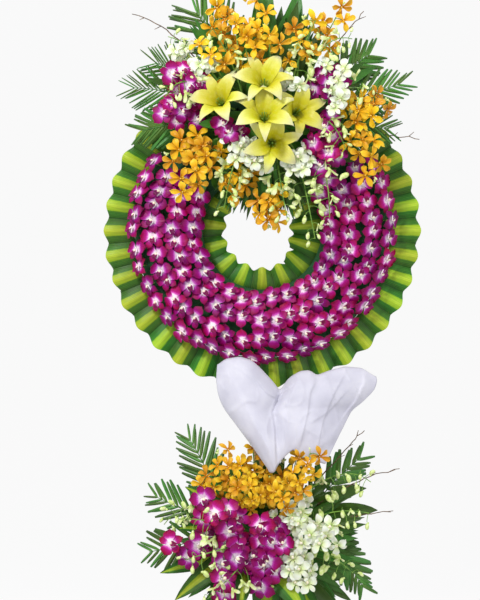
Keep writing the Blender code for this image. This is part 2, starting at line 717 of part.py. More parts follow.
def make_upper_spray():
    for settings in UPPER_BUNCHES:
        bunch(block="upper", **settings)
    fronds("palm_top", "upper", (-0.010, -0.112, 1.465), UP, (
        (PALM, (-0.110, -0.112, 1.620), (-0.165, -0.100, 1.690), 0.100),
        (LEAF, (0.000, -0.120, 1.640), (0.010, -0.105, 1.790), 0.032),
        (LEAF, (0.060, -0.120, 1.620), (0.090, -0.105, 1.750), 0.030),
    ))
    fronds("palm_left", "upper", (-0.090, -0.112, 1.445), LEFT, (
        (PALM, (-0.190, -0.104, 1.525), (-0.270, -0.092, 1.565), 0.090),
        (PALM, (-0.220, -0.122, 1.485), (-0.325, -0.112, 1.500), 0.085),
    ))
    fronds("palm_left_low", "upper", (-0.090, -0.112, 1.395), LEFT, (
        (PALM, (-0.210, -0.138, 1.405), (-0.300, -0.140, 1.390), 0.080),
        (LEAF, (-0.160, -0.134, 1.350), (-0.230, -0.134, 1.320), 0.030),
    ))
    fronds("palm_right", "upper", (0.115, -0.112, 1.440), RIGHT, (
        (PALM, (0.200, -0.104, 1.530), (0.270, -0.092, 1.585), 0.090),
        (PALM, (0.240, -0.122, 1.475), (0.345, -0.112, 1.510), 0.085),
    ))
    fronds("palm_right_low", "upper", (0.115, -0.112, 1.385), RIGHT, (
        (PALM, (0.230, -0.138, 1.400), (0.315, -0.140, 1.395), 0.075),
        (LEAF, (0.170, -0.134, 1.350), (0.230, -0.134, 1.315), 0.030),
    ))
    fronds("leaves_inner", "upper", (0.010, -0.116, 1.350), DOWN, (
        (LEAF, (-0.055, -0.128, 1.280), (-0.105, -0.128, 1.200), 0.028),
        (LEAF, (0.005, -0.130, 1.260), (-0.010, -0.130, 1.185), 0.026),
        (LEAF, (0.070, -0.128, 1.280), (0.120, -0.128, 1.210), 0.028),
    ))
    bud_spray("buds_top", "upper", (0.108, -0.158, 1.465), UP, (
        ((0.150, -0.214, 1.588), (0.220, -0.206, 1.612), 6),
    ))
    bud_spray("buds_hanging", "upper", (0.085, -0.155, 1.350), DOWN, (
        ((0.108, -0.178, 1.230), (0.130, -0.175, 1.120), 6),
    ))


LOWER_BUNCHES = (
    {"name": "mokara_lower", "hole": (0.000, -0.080, 0.430), "out": UP, "kind": MOKARA, "colour": "orange",
     "branches": (
         ((-0.085, -0.140, 0.495), (-0.150, -0.125, 0.510), 5, 0.35),
         ((-0.045, -0.175, 0.525), (-0.085, -0.160, 0.590), 4, 0.45),
         ((0.015, -0.145, 0.510), (0.010, -0.140, 0.570), 3, 0.45),
         ((0.070, -0.180, 0.515), (0.112, -0.175, 0.590), 4, 0.50),
     )},
    {"name": "purple_lower", "hole": (-0.035, -0.110, 0.385), "out": FRONT, "kind": DENDROBIUM, "colour": "magenta",
     "branches": (
         ((-0.105, -0.195, 0.435), (-0.175, -0.185, 0.445), 4, 0.35),
         ((-0.125, -0.158, 0.370), (-0.225, -0.145, 0.355), 4, 0.35),
         ((-0.085, -0.195, 0.320), (-0.155, -0.180, 0.265), 4, 0.35),
         ((-0.010, -0.160, 0.330), (-0.045, -0.155, 0.235), 4, 0.25),
     )},
    {"name": "white_lower", "hole": (0.045, -0.110, 0.390), "out": FRONT, "kind": DENDROBIUM, "colour": "white",
     "branches": (
         ((0.060, -0.160, 0.425), (0.110, -0.150, 0.455), 3, 0.35),
         ((0.110, -0.200, 0.395), (0.185, -0.185, 0.390), 5, 0.30),
         ((0.075, -0.165, 0.335), (0.110, -0.155, 0.265), 4, 0.35),
     )},
)


def make_lower_spray():
    for settings in LOWER_BUNCHES:
        bunch(block="lower", **settings)
    fronds("palm_lower_left", "lower", (-0.070, -0.055, 0.395), LEFT, (
        (PALM, (-0.135, -0.085, 0.530), (-0.185, -0.070, 0.620), 0.080),
        (PALM, (-0.190, -0.090, 0.440), (-0.270, -0.075, 0.475), 0.075),
        (PALM, (-0.190, -0.095, 0.360), (-0.285, -0.080, 0.335), 0.080),
    ))
    fronds("leaves_lower_right", "lower", (0.070, -0.055, 0.395), RIGHT, (
        (PALM, (0.165, -0.050, 0.490), (0.250, -0.030, 0.570), 0.080),
        (LEAF, (0.190, -0.095, 0.440), (0.290, -0.080, 0.450), 0.040),
        (PALM, (0.180, -0.095, 0.340), (0.255, -0.080, 0.245), 0.075),
    ))
    fronds("leaves_lower_front", "lower", (0.010, -0.110, 0.345), FRONT, (
        (LEAF, (-0.090, -0.140, 0.240), (-0.165, -0.135, 0.140), 0.036),
        (LEAF, (0.010, -0.145, 0.230), (0.010, -0.140, 0.110), 0.036),
        (LEAF, (0.090, -0.140, 0.240), (0.150, -0.135, 0.130), 0.036),
    ), colour="collar")
    bud_spray("buds_lower", "lower", (0.060, -0.090, 0.430), UP, (
        ((0.180, -0.130, 0.530), (0.270, -0.130, 0.515), 6),
    ))


def make_foam_blocks():
    """The blocks that the stems stand in, with a plain square hole for each."""
    for block, (low, high) in (("upper", UPPER_FOAM), ("lower", LOWER_FOAM)):
        node = add_node(f"{block}_foam", box_mesh(low, high), "foam")
        boolean(node, [hole_mesh(*hole) for hole in foam_holes[block]], "DIFFERENCE")


def hole_mesh(mouth, out):
    bm = bmesh.new()
    radius = (STEM * 1.15 + HOLE_CLEARANCE) * math.sqrt(2)
    bmesh.ops.create_cone(bm, cap_ends=True, segments=4, radius1=radius, radius2=radius, depth=2 * HOLE_DEPTH)
    bmesh.ops.rotate(bm, matrix=out.to_track_quat("Z", "Y").to_matrix(), verts=bm.verts)
    bmesh.ops.translate(bm, vec=mouth, verts=bm.verts)
    return finished(bm)


# The tied cloth, measured on its own width and height.
CLOTH = {
    "columns": 9, "rows": 6, "left": -0.113, "right": 0.290, "foot_left": -0.022, "foot_right": 0.120,
    "bottom": 0.545, "notch": 0.40, "notch_height": 0.742, "left_top": 0.818, "right_top": 0.798,
    "front": -0.128, "puff": 0.024,
}


def cloth_place(across, down, front):
    """Two puffed lobes at the top with a fold between them, drawn in and back to the mast at the bottom."""
    slope = max(0, (down - 0.28) / 0.72)
    left = CLOTH["left"] + (CLOTH["foot_left"] - CLOTH["left"]) * slope
    right = CLOTH["right"] + (CLOTH["foot_right"] - CLOTH["right"]) * down
    if across < CLOTH["notch"]:
        peak, inward = CLOTH["left_top"], across / CLOTH["notch"]
        rise = math.cos(math.pi / 2 * inward ** 2.5)
    else:
        peak, inward = CLOTH["right_top"], (across - CLOTH["notch"]) / (1 - CLOTH["notch"])
        rise = min(1, 5 * inward) - 0.25 * max(0, inward - 0.7)
    top = CLOTH["notch_height"] + (peak - CLOTH["notch_height"]) * rise
    edge = math.sin(math.pi * across) ** 0.5 * math.sin(math.pi * (0.10 + 0.75 * down)) ** 0.5
    lobes = 0.55 + 0.45 * abs(math.sin(math.pi * (across - CLOTH["notch"]) / 0.62))
    puff = 0.002 + CLOTH["puff"] * edge * lobes
    foot_depth = MAST_FRONT - 2 * GAP
    back = CLOTH["front"] + (foot_depth - CLOTH["front"]) * max(0, (down - 0.6) / 0.4) ** 1.3
    depth = back - 2.2 * puff if front else back
    return Vector((left + (right - left) * across, depth, top + (CLOTH["bottom"] - top) * down))


def make_cloth():
    """Its front and back sheets, joined round their edges."""
    bm = bmesh.new()
    columns, rows = CLOTH["columns"], CLOTH["rows"]
    for front in (True, False):
        made = bmesh.ops.create_grid(bm, x_segments=columns, y_segments=rows, size=0.5)
        for corner in made["verts"]:
            corner.co = cloth_place(corner.co.x + 0.5, 0.5 - corner.co.y, front)
    bmesh.ops.triangulate(bm, faces=bm.faces)
    edges = [edge for edge in bm.edges if len(edge.link_faces) == 1]
    bmesh.ops.bridge_loops(bm, edges=edges)
    bmesh.ops.triangulate(bm, faces=bm.faces)
    add_node("mourning_cloth", finished(bm), "cloth")


clear_scene()
make_stand()
make_ring_core()
make_collars()
make_ring_orchids()
make_lilies()
make_upper_spray()
make_lower_spray()
make_foam_blocks()
make_cloth()
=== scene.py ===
import math
import random

import bpy
from mathutils import Matrix, Vector, noise


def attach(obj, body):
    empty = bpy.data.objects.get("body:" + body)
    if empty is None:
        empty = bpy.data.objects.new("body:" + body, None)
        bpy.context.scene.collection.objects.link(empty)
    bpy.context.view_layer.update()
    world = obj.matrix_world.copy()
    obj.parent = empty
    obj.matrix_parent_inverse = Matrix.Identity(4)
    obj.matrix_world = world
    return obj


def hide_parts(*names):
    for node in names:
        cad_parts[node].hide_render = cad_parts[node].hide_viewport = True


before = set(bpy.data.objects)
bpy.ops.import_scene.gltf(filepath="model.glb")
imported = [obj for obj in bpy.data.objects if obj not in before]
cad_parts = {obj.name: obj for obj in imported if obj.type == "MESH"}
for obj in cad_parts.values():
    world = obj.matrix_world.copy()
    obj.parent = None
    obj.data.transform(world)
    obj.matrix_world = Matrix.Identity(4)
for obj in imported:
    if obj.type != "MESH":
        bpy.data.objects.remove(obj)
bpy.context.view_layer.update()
print("frame loaded with", len(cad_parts), "nodes")

draw = random.Random(11)
left, right = Vector((-1, 0, 0)), Vector((1, 0, 0))
front, up, down = Vector((0, -1, 0)), Vector((0, 0, 1)), Vector((0, 0, -1))
millimetre = 0.001


# Small helpers

def linear(hexColour):
    shares = [int(hexColour[place:place + 2], 16) / 255 for place in (1, 3, 5)]
    return tuple(s / 12.92 if s <= 0.04045 else ((s + 0.055) / 1.055) ** 2.4 for s in shares) + (1,)


def selectOnly(items):
    for item in bpy.context.selected_objects:
        item.select_set(False)
    for item in items:
        item.select_set(True)
    bpy.context.view_layer.objects.active = items[0] if items else None


def shapedGrid(name, columns, rows, place, material, thickness=0.0):
    # a flat grid whose corners are then pulled to where place(u, v) says, u from -1 to 1 and v from 0 to 1
    selectOnly([])
    bpy.ops.mesh.primitive_grid_add(x_subdivisions=columns, y_subdivisions=rows, size=1)
    sheet = bpy.context.object
    sheet.name = name
    for corner in sheet.data.vertices:
        corner.co = place(corner.co.x * 2, corner.co.y + 0.5)
    sheet.data.materials.append(material)
    if thickness:
        bpy.ops.object.modifier_add(type="SOLIDIFY")
        solidify = sheet.modifiers[-1]
        solidify.thickness, solidify.offset = thickness, 0.0
        bpy.ops.object.modifier_apply(modifier=solidify.name)
    return sheet


def joined(name, parts, angle=50):
    selectOnly(parts)
    if len(parts) > 1:
        bpy.ops.object.join()
    piece = bpy.context.object
    piece.name = piece.data.name = name
    bpy.ops.object.shade_smooth_by_angle(angle=math.radians(angle))
    return piece


def tinted(piece, tint):
    # one value of tint for the whole of a petal or leaf, which its material reads
    mark = piece.data.attributes.new("tint", "FLOAT", "POINT")
    mark.data.foreach_set("value", [tint] * len(piece.data.vertices))
    return piece


def twinOf(master, matrix, tint):
    # a copy with its own mesh, set down in place
    twin = master.copy()
    twin.data = master.data.copy()
    twin.data.transform(matrix)
    bpy.context.collection.objects.link(twin)
    return tinted(twin, tint)


def pointing(way):
    # turns +Z this way
    return Vector(way).to_track_quat("Z", "Y").to_matrix().to_4x4()


def facingMatrix(centre, facing, top, size=1.0):
    # sets a flower that faces +Z, with its top at +Y, down at its centre, facing this way
    facing = facing.normalized()
    flank = top.cross(facing).normalized()
    turned = Matrix((flank, facing.cross(flank), facing)).transposed().to_4x4()
    return Matrix.Translation(centre) @ turned @ Matrix.Scale(size, 4)


def routePoints(start, middle, end, steps):
    # a smooth bow that passes through its middle
    start, middle, end = Vector(start), Vector(middle), Vector(end)
    pull = 2 * middle - (start + end) / 2
    shares = [step / steps for step in range(steps + 1)]
    return [start * (1 - t) ** 2 + pull * 2 * t * (1 - t) + end * t * t for t in shares]


def stray(most):
    return draw.uniform(-most, most)


def along(points, share):
    # the place at this share of a line of points, and the way on from there
    reach = share * (len(points) - 1)
    first = min(int(reach), len(points) - 2)
    step = points[first + 1] - points[first]
    return points[first] + step * (reach - first), step.normalized()


def stemTubes(name, lines, material):
    # lines are (points, radius at the start, radius at the end)
    curve = bpy.data.curves.new(name, "CURVE")
    curve.dimensions = "3D"
    curve.bevel_depth = millimetre
    curve.bevel_resolution = 1
    curve.use_fill_caps = True
    for points, thick, thin in lines:
        spline = curve.splines.new("POLY")
        spline.points.add(len(points) - 1)
        for index, point in enumerate(points):
            share = index / (len(points) - 1)
            spline.points[index].co = (*point, 1)
            spline.points[index].radius = (thick + (thin - thick) * share) / millimetre
    tubes = bpy.data.objects.new(name, curve)
    bpy.context.collection.objects.link(tubes)
    selectOnly([tubes])
    bpy.ops.object.convert(target="MESH")
    tubes = bpy.context.object
    tubes.data.materials.clear()
    tubes.data.materials.append(material)
    return tubes


def stemFoot(hole, out, look):
    # the fork that a stem's branches leave from, and the straight stretch that stands in the foam
    hole = Vector(hole)
    fork = hole + out * look["out"]
    return fork, ((hole - out * look["inFoam"], fork + out * look["pastFork"]), *look["footRadii"])


def keep(piece, slot, *nodes):
    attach(piece, "root")
    nodes = [node for node in nodes if node]  # "" stands for a piece that the solids leave out
    if nodes:
        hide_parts(*nodes)


# Materials

def addNode(material, kind, settings=None):
    # a setting is a property or an input of the node, and an input takes a value or another node's output
    node = material.node_tree.nodes.new("ShaderNode" + kind)
    for name, value in (settings or {}).items():
        if name == "stops":  # (position, colour) along a colour ramp
            elements = node.color_ramp.elements
            while len(elements) < len(value):
                elements.new(0.5)
            for element, (position, colour) in zip(elements, value):
                element.position, element.color = position, linear(colour)
        elif isinstance(value, bpy.types.NodeSocket):
            material.node_tree.links.new(value, node.inputs[name])
        elif isinstance(name, int) or name in node.inputs:
            node.inputs[name].default_value = value
        else:
            setattr(node, name, value)
    return node.outputs


def newMaterial(name, roughness, ior=1.45, gloss=0.5):
    material = bpy.data.materials.new(name)
    material.use_nodes = True
    shader = material.node_tree.nodes["Principled BSDF"]
    shader.inputs["Roughness"].default_value = roughness
    shader.inputs["IOR"].default_value = ior
    shader.inputs["Specular IOR Level"].default_value = gloss
    return material, shader


def perMetre(sizeInMillimetres):
    # a noise's scale whose blobs are about this many millimetres across
    return 1 / (sizeInMillimetres * millimetre)


blended = {"data_type": "RGBA"}
multiplied = {"data_type": "RGBA", "blend_type": "MULTIPLY", "Factor": 1.0}


def dress(material, shader, colour, height, strength, depth, invert=False):
    # the shader's colour, and its relief, this many millimetres deep
    relief = addNode(material, "Bump", {
        "Height": height, "Strength": strength, "Distance": depth * millimetre, "invert": invert})
    material.node_tree.links.new(colour, shader.inputs["Base Color"])
    material.node_tree.links.new(relief["Normal"], shader.inputs["Normal"])


# A petal or leaf lives on its own UV map: across it from 0 to 1, and from its foot at 0 to its tip at 1.
# Veins are (number, strength, colour), mottle is (millimetres across, strength, colour), and tints and hues
# say how far one piece may differ from the next.
def bladeFinish(name, footToTip, veins, mottle, tints, hues, across=(), streaks=0.0, veinEnd=0.15,
                wander=0.06, bump=0.5, glow=0.12, gloss=0.3, roughness=0.42, ior=1.42, hueShift=0.0):
    material, shader = newMaterial(name, roughness, ior, gloss)
    coordinates = addNode(material, "TexCoord")
    uv = addNode(material, "SeparateXYZ", {0: coordinates["UV"]})
    wandering = addNode(material, "TexNoise", {
        "Vector": coordinates["Object"], "Scale": perMetre(9), "Detail": 2.0})["Fac"]
    shift = addNode(material, "MapRange", {"Value": wandering, "To Min": -wander, "To Max": wander})[0]
    lengthwise = addNode(material, "Math", {0: uv["Y"], 1: shift})[0]
    colour = addNode(material, "ValToRGB", {"Fac": lengthwise, "stops": footToTip})["Color"]
    if across:  # a stripe that runs from foot to tip
        sideways = addNode(material, "Math", {0: uv["X"], 1: shift})[0]
        stripe = addNode(material, "ValToRGB", {"Fac": sideways, "stops": across})["Color"]
        # the stripe is multiplied by the foot-to-tip colours, which for the striped leaf are painted shade,
        # darkest at its foot
        colour = addNode(material, "Mix", {**multiplied, 6: stripe, 7: colour})[2]
    veinCount, veinStrength, veinColour = veins
    turns = addNode(material, "Math", {"operation": "MULTIPLY", 0: uv["X"], 1: veinCount * 2 * math.pi})[0]
    wave = addNode(material, "Math", {"operation": "SINE", 0: turns})[0]
    thin = addNode(material, "MapRange", {"Value": wave, "From Min": 0.3, "To Max": veinStrength})[0]
    fade = addNode(material, "MapRange", {
        "Value": uv["Y"], "From Min": 0.2, "To Min": 1.0, "To Max": veinEnd})[0]
    veining = addNode(material, "Math", {"operation": "MULTIPLY", 0: thin, 1: fade})[0]
    colour = addNode(material, "Mix", {**blended, "Factor": veining, 6: colour, 7: linear(veinColour)})[2]
    if streaks:  # a leaf's long fibres, lighter and darker in turn
        fibres = addNode(material, "Mapping", {"Scale": (34, 1.1, 1), "Vector": coordinates["UV"]})[0]
        grain = addNode(material, "TexNoise", {"Vector": fibres, "Scale": 1.0, "Detail": 2.0})["Fac"]
        shade = addNode(material, "MapRange", {
            "Value": grain, "From Min": 0.35, "From Max": 0.65, "To Min": 1 - streaks, "To Max": 1.0})[0]
        colour = addNode(material, "Mix", {**multiplied, 6: colour, 7: shade})[2]
    mottleSize, mottleStrength, mottleColour = mottle
    clouds = addNode(material, "TexNoise", {
        "Vector": coordinates["Object"], "Scale": perMetre(mottleSize), "Detail": 3.0})["Fac"]
    blotch = addNode(material, "MapRange", {
        "Value": clouds, "From Min": 0.45, "From Max": 0.75, "To Max": mottleStrength})[0]
    colour = addNode(material, "Mix", {**blended, "Factor": blotch, 6: colour, 7: linear(mottleColour)})[2]
    tint = addNode(material, "Attribute", {"attribute_name": "tint"})["Fac"]
    middleHue = 0.5 + hueShift
    hue = addNode(material, "MapRange", {
        "Value": tint, "To Min": middleHue - hues, "To Max": middleHue + hues})[0]
    bright = addNode(material, "MapRange", {"Value": tint, "To Min": tints[0], "To Max": tints[1]})[0]
    colour = addNode(material, "HueSaturation", {"Hue": hue, "Value": bright, "Color": colour})["Color"]
    ridges = addNode(material, "Math", {"operation": "MULTIPLY_ADD", 0: wave, 1: 0.5, 2: clouds})[0]
    dress(material, shader, colour, ridges, bump, 0.4)
    shader.inputs["Subsurface Weight"].default_value = glow  # light comes through a thin petal
    shader.inputs["Subsurface Radius"].default_value = (0.004, 0.002, 0.002)
    shader.inputs["Subsurface Scale"].default_value = 1.0
    return material


# Petals are velvety, with a pale heart that runs out into the petal.
magentaPetal = bladeFinish(
    "Dendrobium petal", veins=(6, 0.28, "#6A0440"), mottle=(9, 0.35, "#B01490"), tints=(0.66, 1.12),
    hues=0.018, wander=0.05, glow=0.03, gloss=0.2,
    # the bright pink at 0.28, between the pale heart and the magenta, is partly the flower's own colour and
    # partly a painted highlight on its veins
    footToTip=((0.0, "#FFFCFD"), (0.18, "#FBE2F4"), (0.28, "#D254C4"), (0.38, "#A80A7E"), (0.62, "#94044E"),
               (1.0, "#7A0338")))
magentaLip = bladeFinish(
    "Dendrobium lip", veins=(5, 0.5, "#4A0334"), mottle=(5, 0.3, "#B5329A"), tints=(0.75, 1.15),
    hues=0.015, roughness=0.38,
    footToTip=((0.0, "#F6D6EE"), (0.18, "#98086A"), (0.6, "#620338"), (1.0, "#7A0548")))
whitePetal = bladeFinish(
    "White dendrobium petal", veins=(6, 0.20, "#C6D490"), mottle=(12, 0.45, "#DDE8AE"), tints=(0.88, 1.04),
    hues=0.012, roughness=0.45, bump=0.4,
    footToTip=((0.0, "#B4CC62"), (0.20, "#DCE8AE"), (0.5, "#ECEFDF"), (0.85, "#EFF1E6"), (1.0, "#DCE6BA")))
orangePetal = bladeFinish(
    "Mokara petal", veins=(4, 0.25, "#D8860E"), mottle=(4, 0.4, "#E08A12"), tints=(0.72, 1.04), hues=0.016,
    hueShift=0.009, roughness=0.36, glow=0.06,
    footToTip=((0.0, "#C8780C"), (0.16, "#E49E16"), (0.50, "#F0B020"), (0.85, "#F6C434"), (1.0, "#FAD458")))
budPetal = bladeFinish(
    "Opening bud sepal", veins=(4, 0.30, "#B6CC6A"), mottle=(8, 0.4, "#F4F6E0"), tints=(0.86, 1.05),
    hues=0.01, bump=0.4, glow=0.1,
    footToTip=((0.0, "#B4CC5E"), (0.35, "#D3E28C"), (0.75, "#E9F0C2"), (1.0, "#D6E490")))
lilyPetal = bladeFinish(
    "Lily petal", veins=(7, 0.22, "#BDBA20"), mottle=(14, 0.3, "#EAE684"), tints=(0.84, 0.98), hues=0.008,
    roughness=0.4, wander=0.03, glow=0.08,
    # the dark olive at the foot is the lily's green throat, darkened further as painted shade deep in the
    # throat
    footToTip=((0.0, "#3C4E0A"), (0.10, "#78840E"), (0.20, "#C6BE12"), (0.48, "#CEC824"), (0.70, "#D8D45E"),
               (0.86, "#DEDC94"), (1.0, "#E2E0BA")))
# Leaves are waxy, so they shine a little, and their veins run from foot to tip.
stripedLeaf = bladeFinish(
    "Striped dracaena leaf", veins=(17, 0.40, "#5C961A"), mottle=(18, 0.18, "#4E8A24"), tints=(0.84, 1.12),
    hues=0.018, ior=1.47, bump=0.6, glow=0.03, veinEnd=0.9, wander=0.015, streaks=0.35,
    # the foot-to-tip colours only darken the stripe: painted shade, darkest at the foot where the leaves tuck
    # under one another and into the foam
    footToTip=((0.0, "#8C9A7C"), (0.25, "#E8E8E0"), (1.0, "#FFFFFF")),
    across=((0.0, "#244E18"), (0.12, "#336C20"), (0.28, "#3E7E26"), (0.31, "#A2C820"), (0.47, "#C8DE3A"),
            (0.67, "#AED026"), (0.70, "#3C7E24"), (1.0, "#28561A")))
palmLeaf = bladeFinish(
    "Palm leaf", veins=(3, 0.4, "#548A50"), mottle=(15, 0.40, "#2C5A20"), tints=(0.60, 1.25), hues=0.025,
    roughness=0.38, ior=1.47, glow=0.02, veinEnd=0.8, streaks=0.35,
    footToTip=((0.0, "#6E9E40"), (0.5, "#5A8C34"), (1.0, "#4C7C34")))
broadLeaf = bladeFinish(
    "Broad green leaf", veins=(9, 0.4, "#4E8430"), mottle=(20, 0.40, "#28541A"), tints=(0.58, 1.25),
    hues=0.025, roughness=0.34, ior=1.47, glow=0.02, veinEnd=0.9, streaks=0.35,
    footToTip=((0.0, "#629430"), (0.5, "#4F842A"), (1.0, "#427226")))


# Stalks, buds, columns and twigs are round, so their pattern lies on Object coordinates.
def roundFinish(name, colours, size, roughness, bump=0.3):
    material, shader = newMaterial(name, roughness)
    place = addNode(material, "TexCoord")["Object"]
    clouds = addNode(material, "TexNoise", {"Vector": place, "Scale": perMetre(size), "Detail": 3.0})["Fac"]
    stops = [(0.3 + 0.4 * index / (len(colours) - 1), colour) for index, colour in enumerate(colours)]
    tone = addNode(material, "ValToRGB", {"Fac": clouds, "stops": stops})["Color"]
    dress(material, shader, tone, clouds, bump, 0.5)
    return material


creamColumn = roundFinish("Orchid column", ("#E9D9A8", "#F8F0D0", "#FBE6F0"), 2, 0.4)
# the lip's side lobes, near white: partly their own white edges, partly a painted highlight
paleArmAndHighlight = roundFinish("Orchid lip arm, white edge and painted highlight", ("#FBE2F2", "#FFFAFD", "#F6C4E2"), 3, 0.4)
yellowColumn = roundFinish("Mokara column", ("#E8B020", "#F9E27A", "#F0A818"), 2, 0.4)
greenStem = roundFinish("Green flower stem", ("#3F6B24", "#6E9A38", "#8DB04C"), 12, 0.45)
darkStem = roundFinish("Palm stalk", ("#27501F", "#3F7030", "#5A8A3C"), 12, 0.45)
paleBud = roundFinish("Pale green bud", ("#B4D060", "#D9E896", "#EDF4C4"), 7, 0.4)
brownTwig = roundFinish("Dry twig", ("#3A281A", "#5E4630", "#846A4A"), 5, 0.8, bump=0.8)


def foamFinish():
    # wet floral foam: a dull green with fine open cells
    material, shader = newMaterial("Green floral foam", 0.95)
    place = addNode(material, "TexCoord")["Object"]
    cells = addNode(material, "TexVoronoi", {"Scale": perMetre(3), "Vector": place})["Distance"]
    stains = addNode(material, "TexNoise", {"Vector": place, "Scale": perMetre(40), "Detail": 4.0})["Fac"]
    tone = addNode(material, "ValToRGB", {
        "Fac": stains, "stops": ((0.35, "#1E4628"), (0.55, "#2C6238"), (0.7, "#3C7646"))})["Color"]
    # darker where the cells sink in, just as deep as the bump sinks them: painted shade in the pits
    pits = addNode(material, "MapRange", {"Value": cells, "From Max": 0.6, "To Max": 0.6})[0]
    colour = addNode(material, "Mix", {**blended, "Factor": pits, 6: tone, 7: linear("#183820")})[2]
    dress(material, shader, colour, cells, 0.8, 1.0, invert=True)
    return material


def woodFinish(name, grain):
    # sawn pine: pale, with growth rings stretched along the board and a dry face
    material, shader = newMaterial(name, 0.68)
    place = addNode(material, "TexCoord")["Object"]
    stretched = addNode(material, "Mapping", {"Scale": grain, "Vector": place})[0]
    bands = addNode(material, "TexNoise", {
        "Vector": stretched, "Scale": perMetre(14), "Detail": 5.0, "Distortion": 0.8})["Fac"]
    fibres = addNode(material, "TexNoise", {"Vector": stretched, "Scale": perMetre(2), "Detail": 2.0})
    tone = addNode(material, "ValToRGB", {
        "Fac": bands, "stops": ((0.3, "#8A5A2E"), (0.5, "#C2935A"), (0.7, "#DDB47C"))})["Color"]
    colour = addNode(material, "Mix", {**multiplied, "Factor": 0.35, 6: tone, 7: fibres["Color"]})[2]
    dress(material, shader, colour, fibres["Fac"], 0.35, 0.5)
    return material


def clothFinish():
    # nonwoven polypropylene: thin, cool white, with a fine pressed dot pattern that the light comes through
    material, shader = newMaterial("White nonwoven cloth", 0.62)
    coordinates = addNode(material, "TexCoord")
    clouds = addNode(material, "TexNoise", {
        "Vector": coordinates["Object"], "Scale": perMetre(60), "Detail": 3.0})["Fac"]
    tone = addNode(material, "ValToRGB", {
        "Fac": clouds, "stops": ((0.3, "#C0BFCD"), (0.5, "#C9C8D5"), (0.7, "#D2D1DC"))})["Color"]
    # dots every 2 mm, coarser than real
    dots = addNode(material, "TexVoronoi", {"Scale": 220.0, "Vector": coordinates["UV"]})["Distance"]
    fibres = addNode(material, "TexNoise", {
        "Vector": coordinates["Object"], "Scale": perMetre(3), "Detail": 4.0})["Fac"]
    relief = addNode(material, "Math", {0: dots, 1: fibres})[0]
    dress(material, shader, tone, relief, 0.22, 0.3)
    shader.inputs["Subsurface Weight"].default_value = 0.15
    shader.inputs["Subsurface Radius"].default_value = (0.006, 0.006, 0.007)
    shader.inputs["Sheen Weight"].default_value = 0.25
    return material


greenFoam = foamFinish()
whiteCloth = clothFinish()
woodAcross = woodFinish("Sawn pine, grain along X", (0.06, 1, 1))
woodAway = woodFinish("Sawn pine, grain along Y", (1, 0.06, 1))
woodUp = woodFinish("Sawn pine, grain along Z", (1, 1, 0.06))
print("materials made:", len(bpy.data.materials))


# Stand and foam: the frame's own parts, with a better finish
standFinishes = (
    (woodAway, ("base_batten_front",)),
    (woodAcross, ("base_batten_side", "crossbar_lower", "crossbar_upper", "lower_shelf")),
    (woodUp, ("mast", "upright_left", "upright_right", "brace_left", "brace_right", "shelf_bracket")),
    (greenFoam, ("ring_core", "upper_foam", "lower_foam")),
)
for finish, nodeNames in standFinishes:
    for nodeName in nodeNames:
        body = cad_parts[nodeName].data
        body.materials.clear()
        body.materials.append(finish)
print("stand and foam finished")


# Masters: each flower, leaflet and bud is modelled once, facing +Z with its top at +Y

petalShape = {"crowding": 1.35, "blunt": 0.04, "waves": 5, "skew": 2.4, "heart": 0.0012}


def petal(name, form, length, halfWidth, angle, material, lift=0.0):
    # a spoon: narrow foot, broadest at its peak, round tip, a shallow channel along the middle
    foot, peak = form["foot"], form["peak"]

    def place(u, v):
        v = 1 - (1 - v) ** petalShape["crowding"]  # the last rows crowd together and make the tip round
        if v < peak:
            width = foot + (1 - foot) * (0.5 - 0.5 * math.cos(math.pi * v / peak))
        else:
            width = math.sqrt(max(petalShape["blunt"], 1 - ((v - peak) / (1 - peak)) ** 2))
        width *= halfWidth
        wave = math.sin(petalShape["waves"] * v + petalShape["skew"] * u + angle)
        ruffle = form["ruffle"] * halfWidth * wave * abs(u) * v
        height = form["cup"] * halfWidth * u * u + form["rise"] * length * v - form["curl"] * length * v ** 3
        reach = petalShape["heart"] + length * v * (1 - form["round"] * u * u * v)
        return Vector((u * width, reach, height + ruffle + lift))

    blade = shapedGrid(name, form["columns"], form["rows"], place, material, form["thickness"])
    blade.data.transform(Matrix.Rotation(math.radians(-angle), 4, "Z"))
    return blade


def roundBody(name, radius, length, centre, direction, material, segments=6, rings=4):
    # an egg with its long axis along direction
    selectOnly([])
    bpy.ops.mesh.primitive_uv_sphere_add(segments=segments, ring_count=rings, radius=radius)
    body = bpy.context.object
    body.name = name
    body.data.transform(Matrix.Scale(length / (2 * radius), 4, up))
    body.data.transform(pointing(direction))
    body.data.transform(Matrix.Translation(Vector(centre)))
    body.data.materials.append(material)
    return body


# Petals are (angle from the top, length, half width), and uneven says how far they differ.
dendrobium = {  # its broad pair stands left and right of the top sepal
    "petals": ((0, 0.032, 0.0098), (72, 0.033, 0.0160), (144, 0.031, 0.0102), (216, 0.031, 0.0102),
               (288, 0.033, 0.0160)),
    "form": {"columns": 3, "rows": 6, "peak": 0.60, "foot": 0.26, "cup": 0.20, "rise": 0.22, "curl": 0.22,
             "round": 0.10, "ruffle": 0.14, "thickness": 0.0007},
    "lipLength": 0.017, "lipHalfWidth": 0.0066, "armLength": 0.015, "uneven": 0.09,
}
whiteDendrobium = {
    "petals": ((0, 0.030, 0.0080), (70, 0.030, 0.0118), (142, 0.029, 0.0084), (218, 0.029, 0.0084),
               (290, 0.030, 0.0118)),
    "form": {"columns": 3, "rows": 6, "peak": 0.58, "foot": 0.28, "cup": 0.30, "rise": 0.42, "curl": 0.40,
             "round": 0.04, "ruffle": 0.28, "thickness": 0.0007},
    "lipLength": 0.014, "lipHalfWidth": 0.0060, "armLength": 0.010, "uneven": 0.20,
}
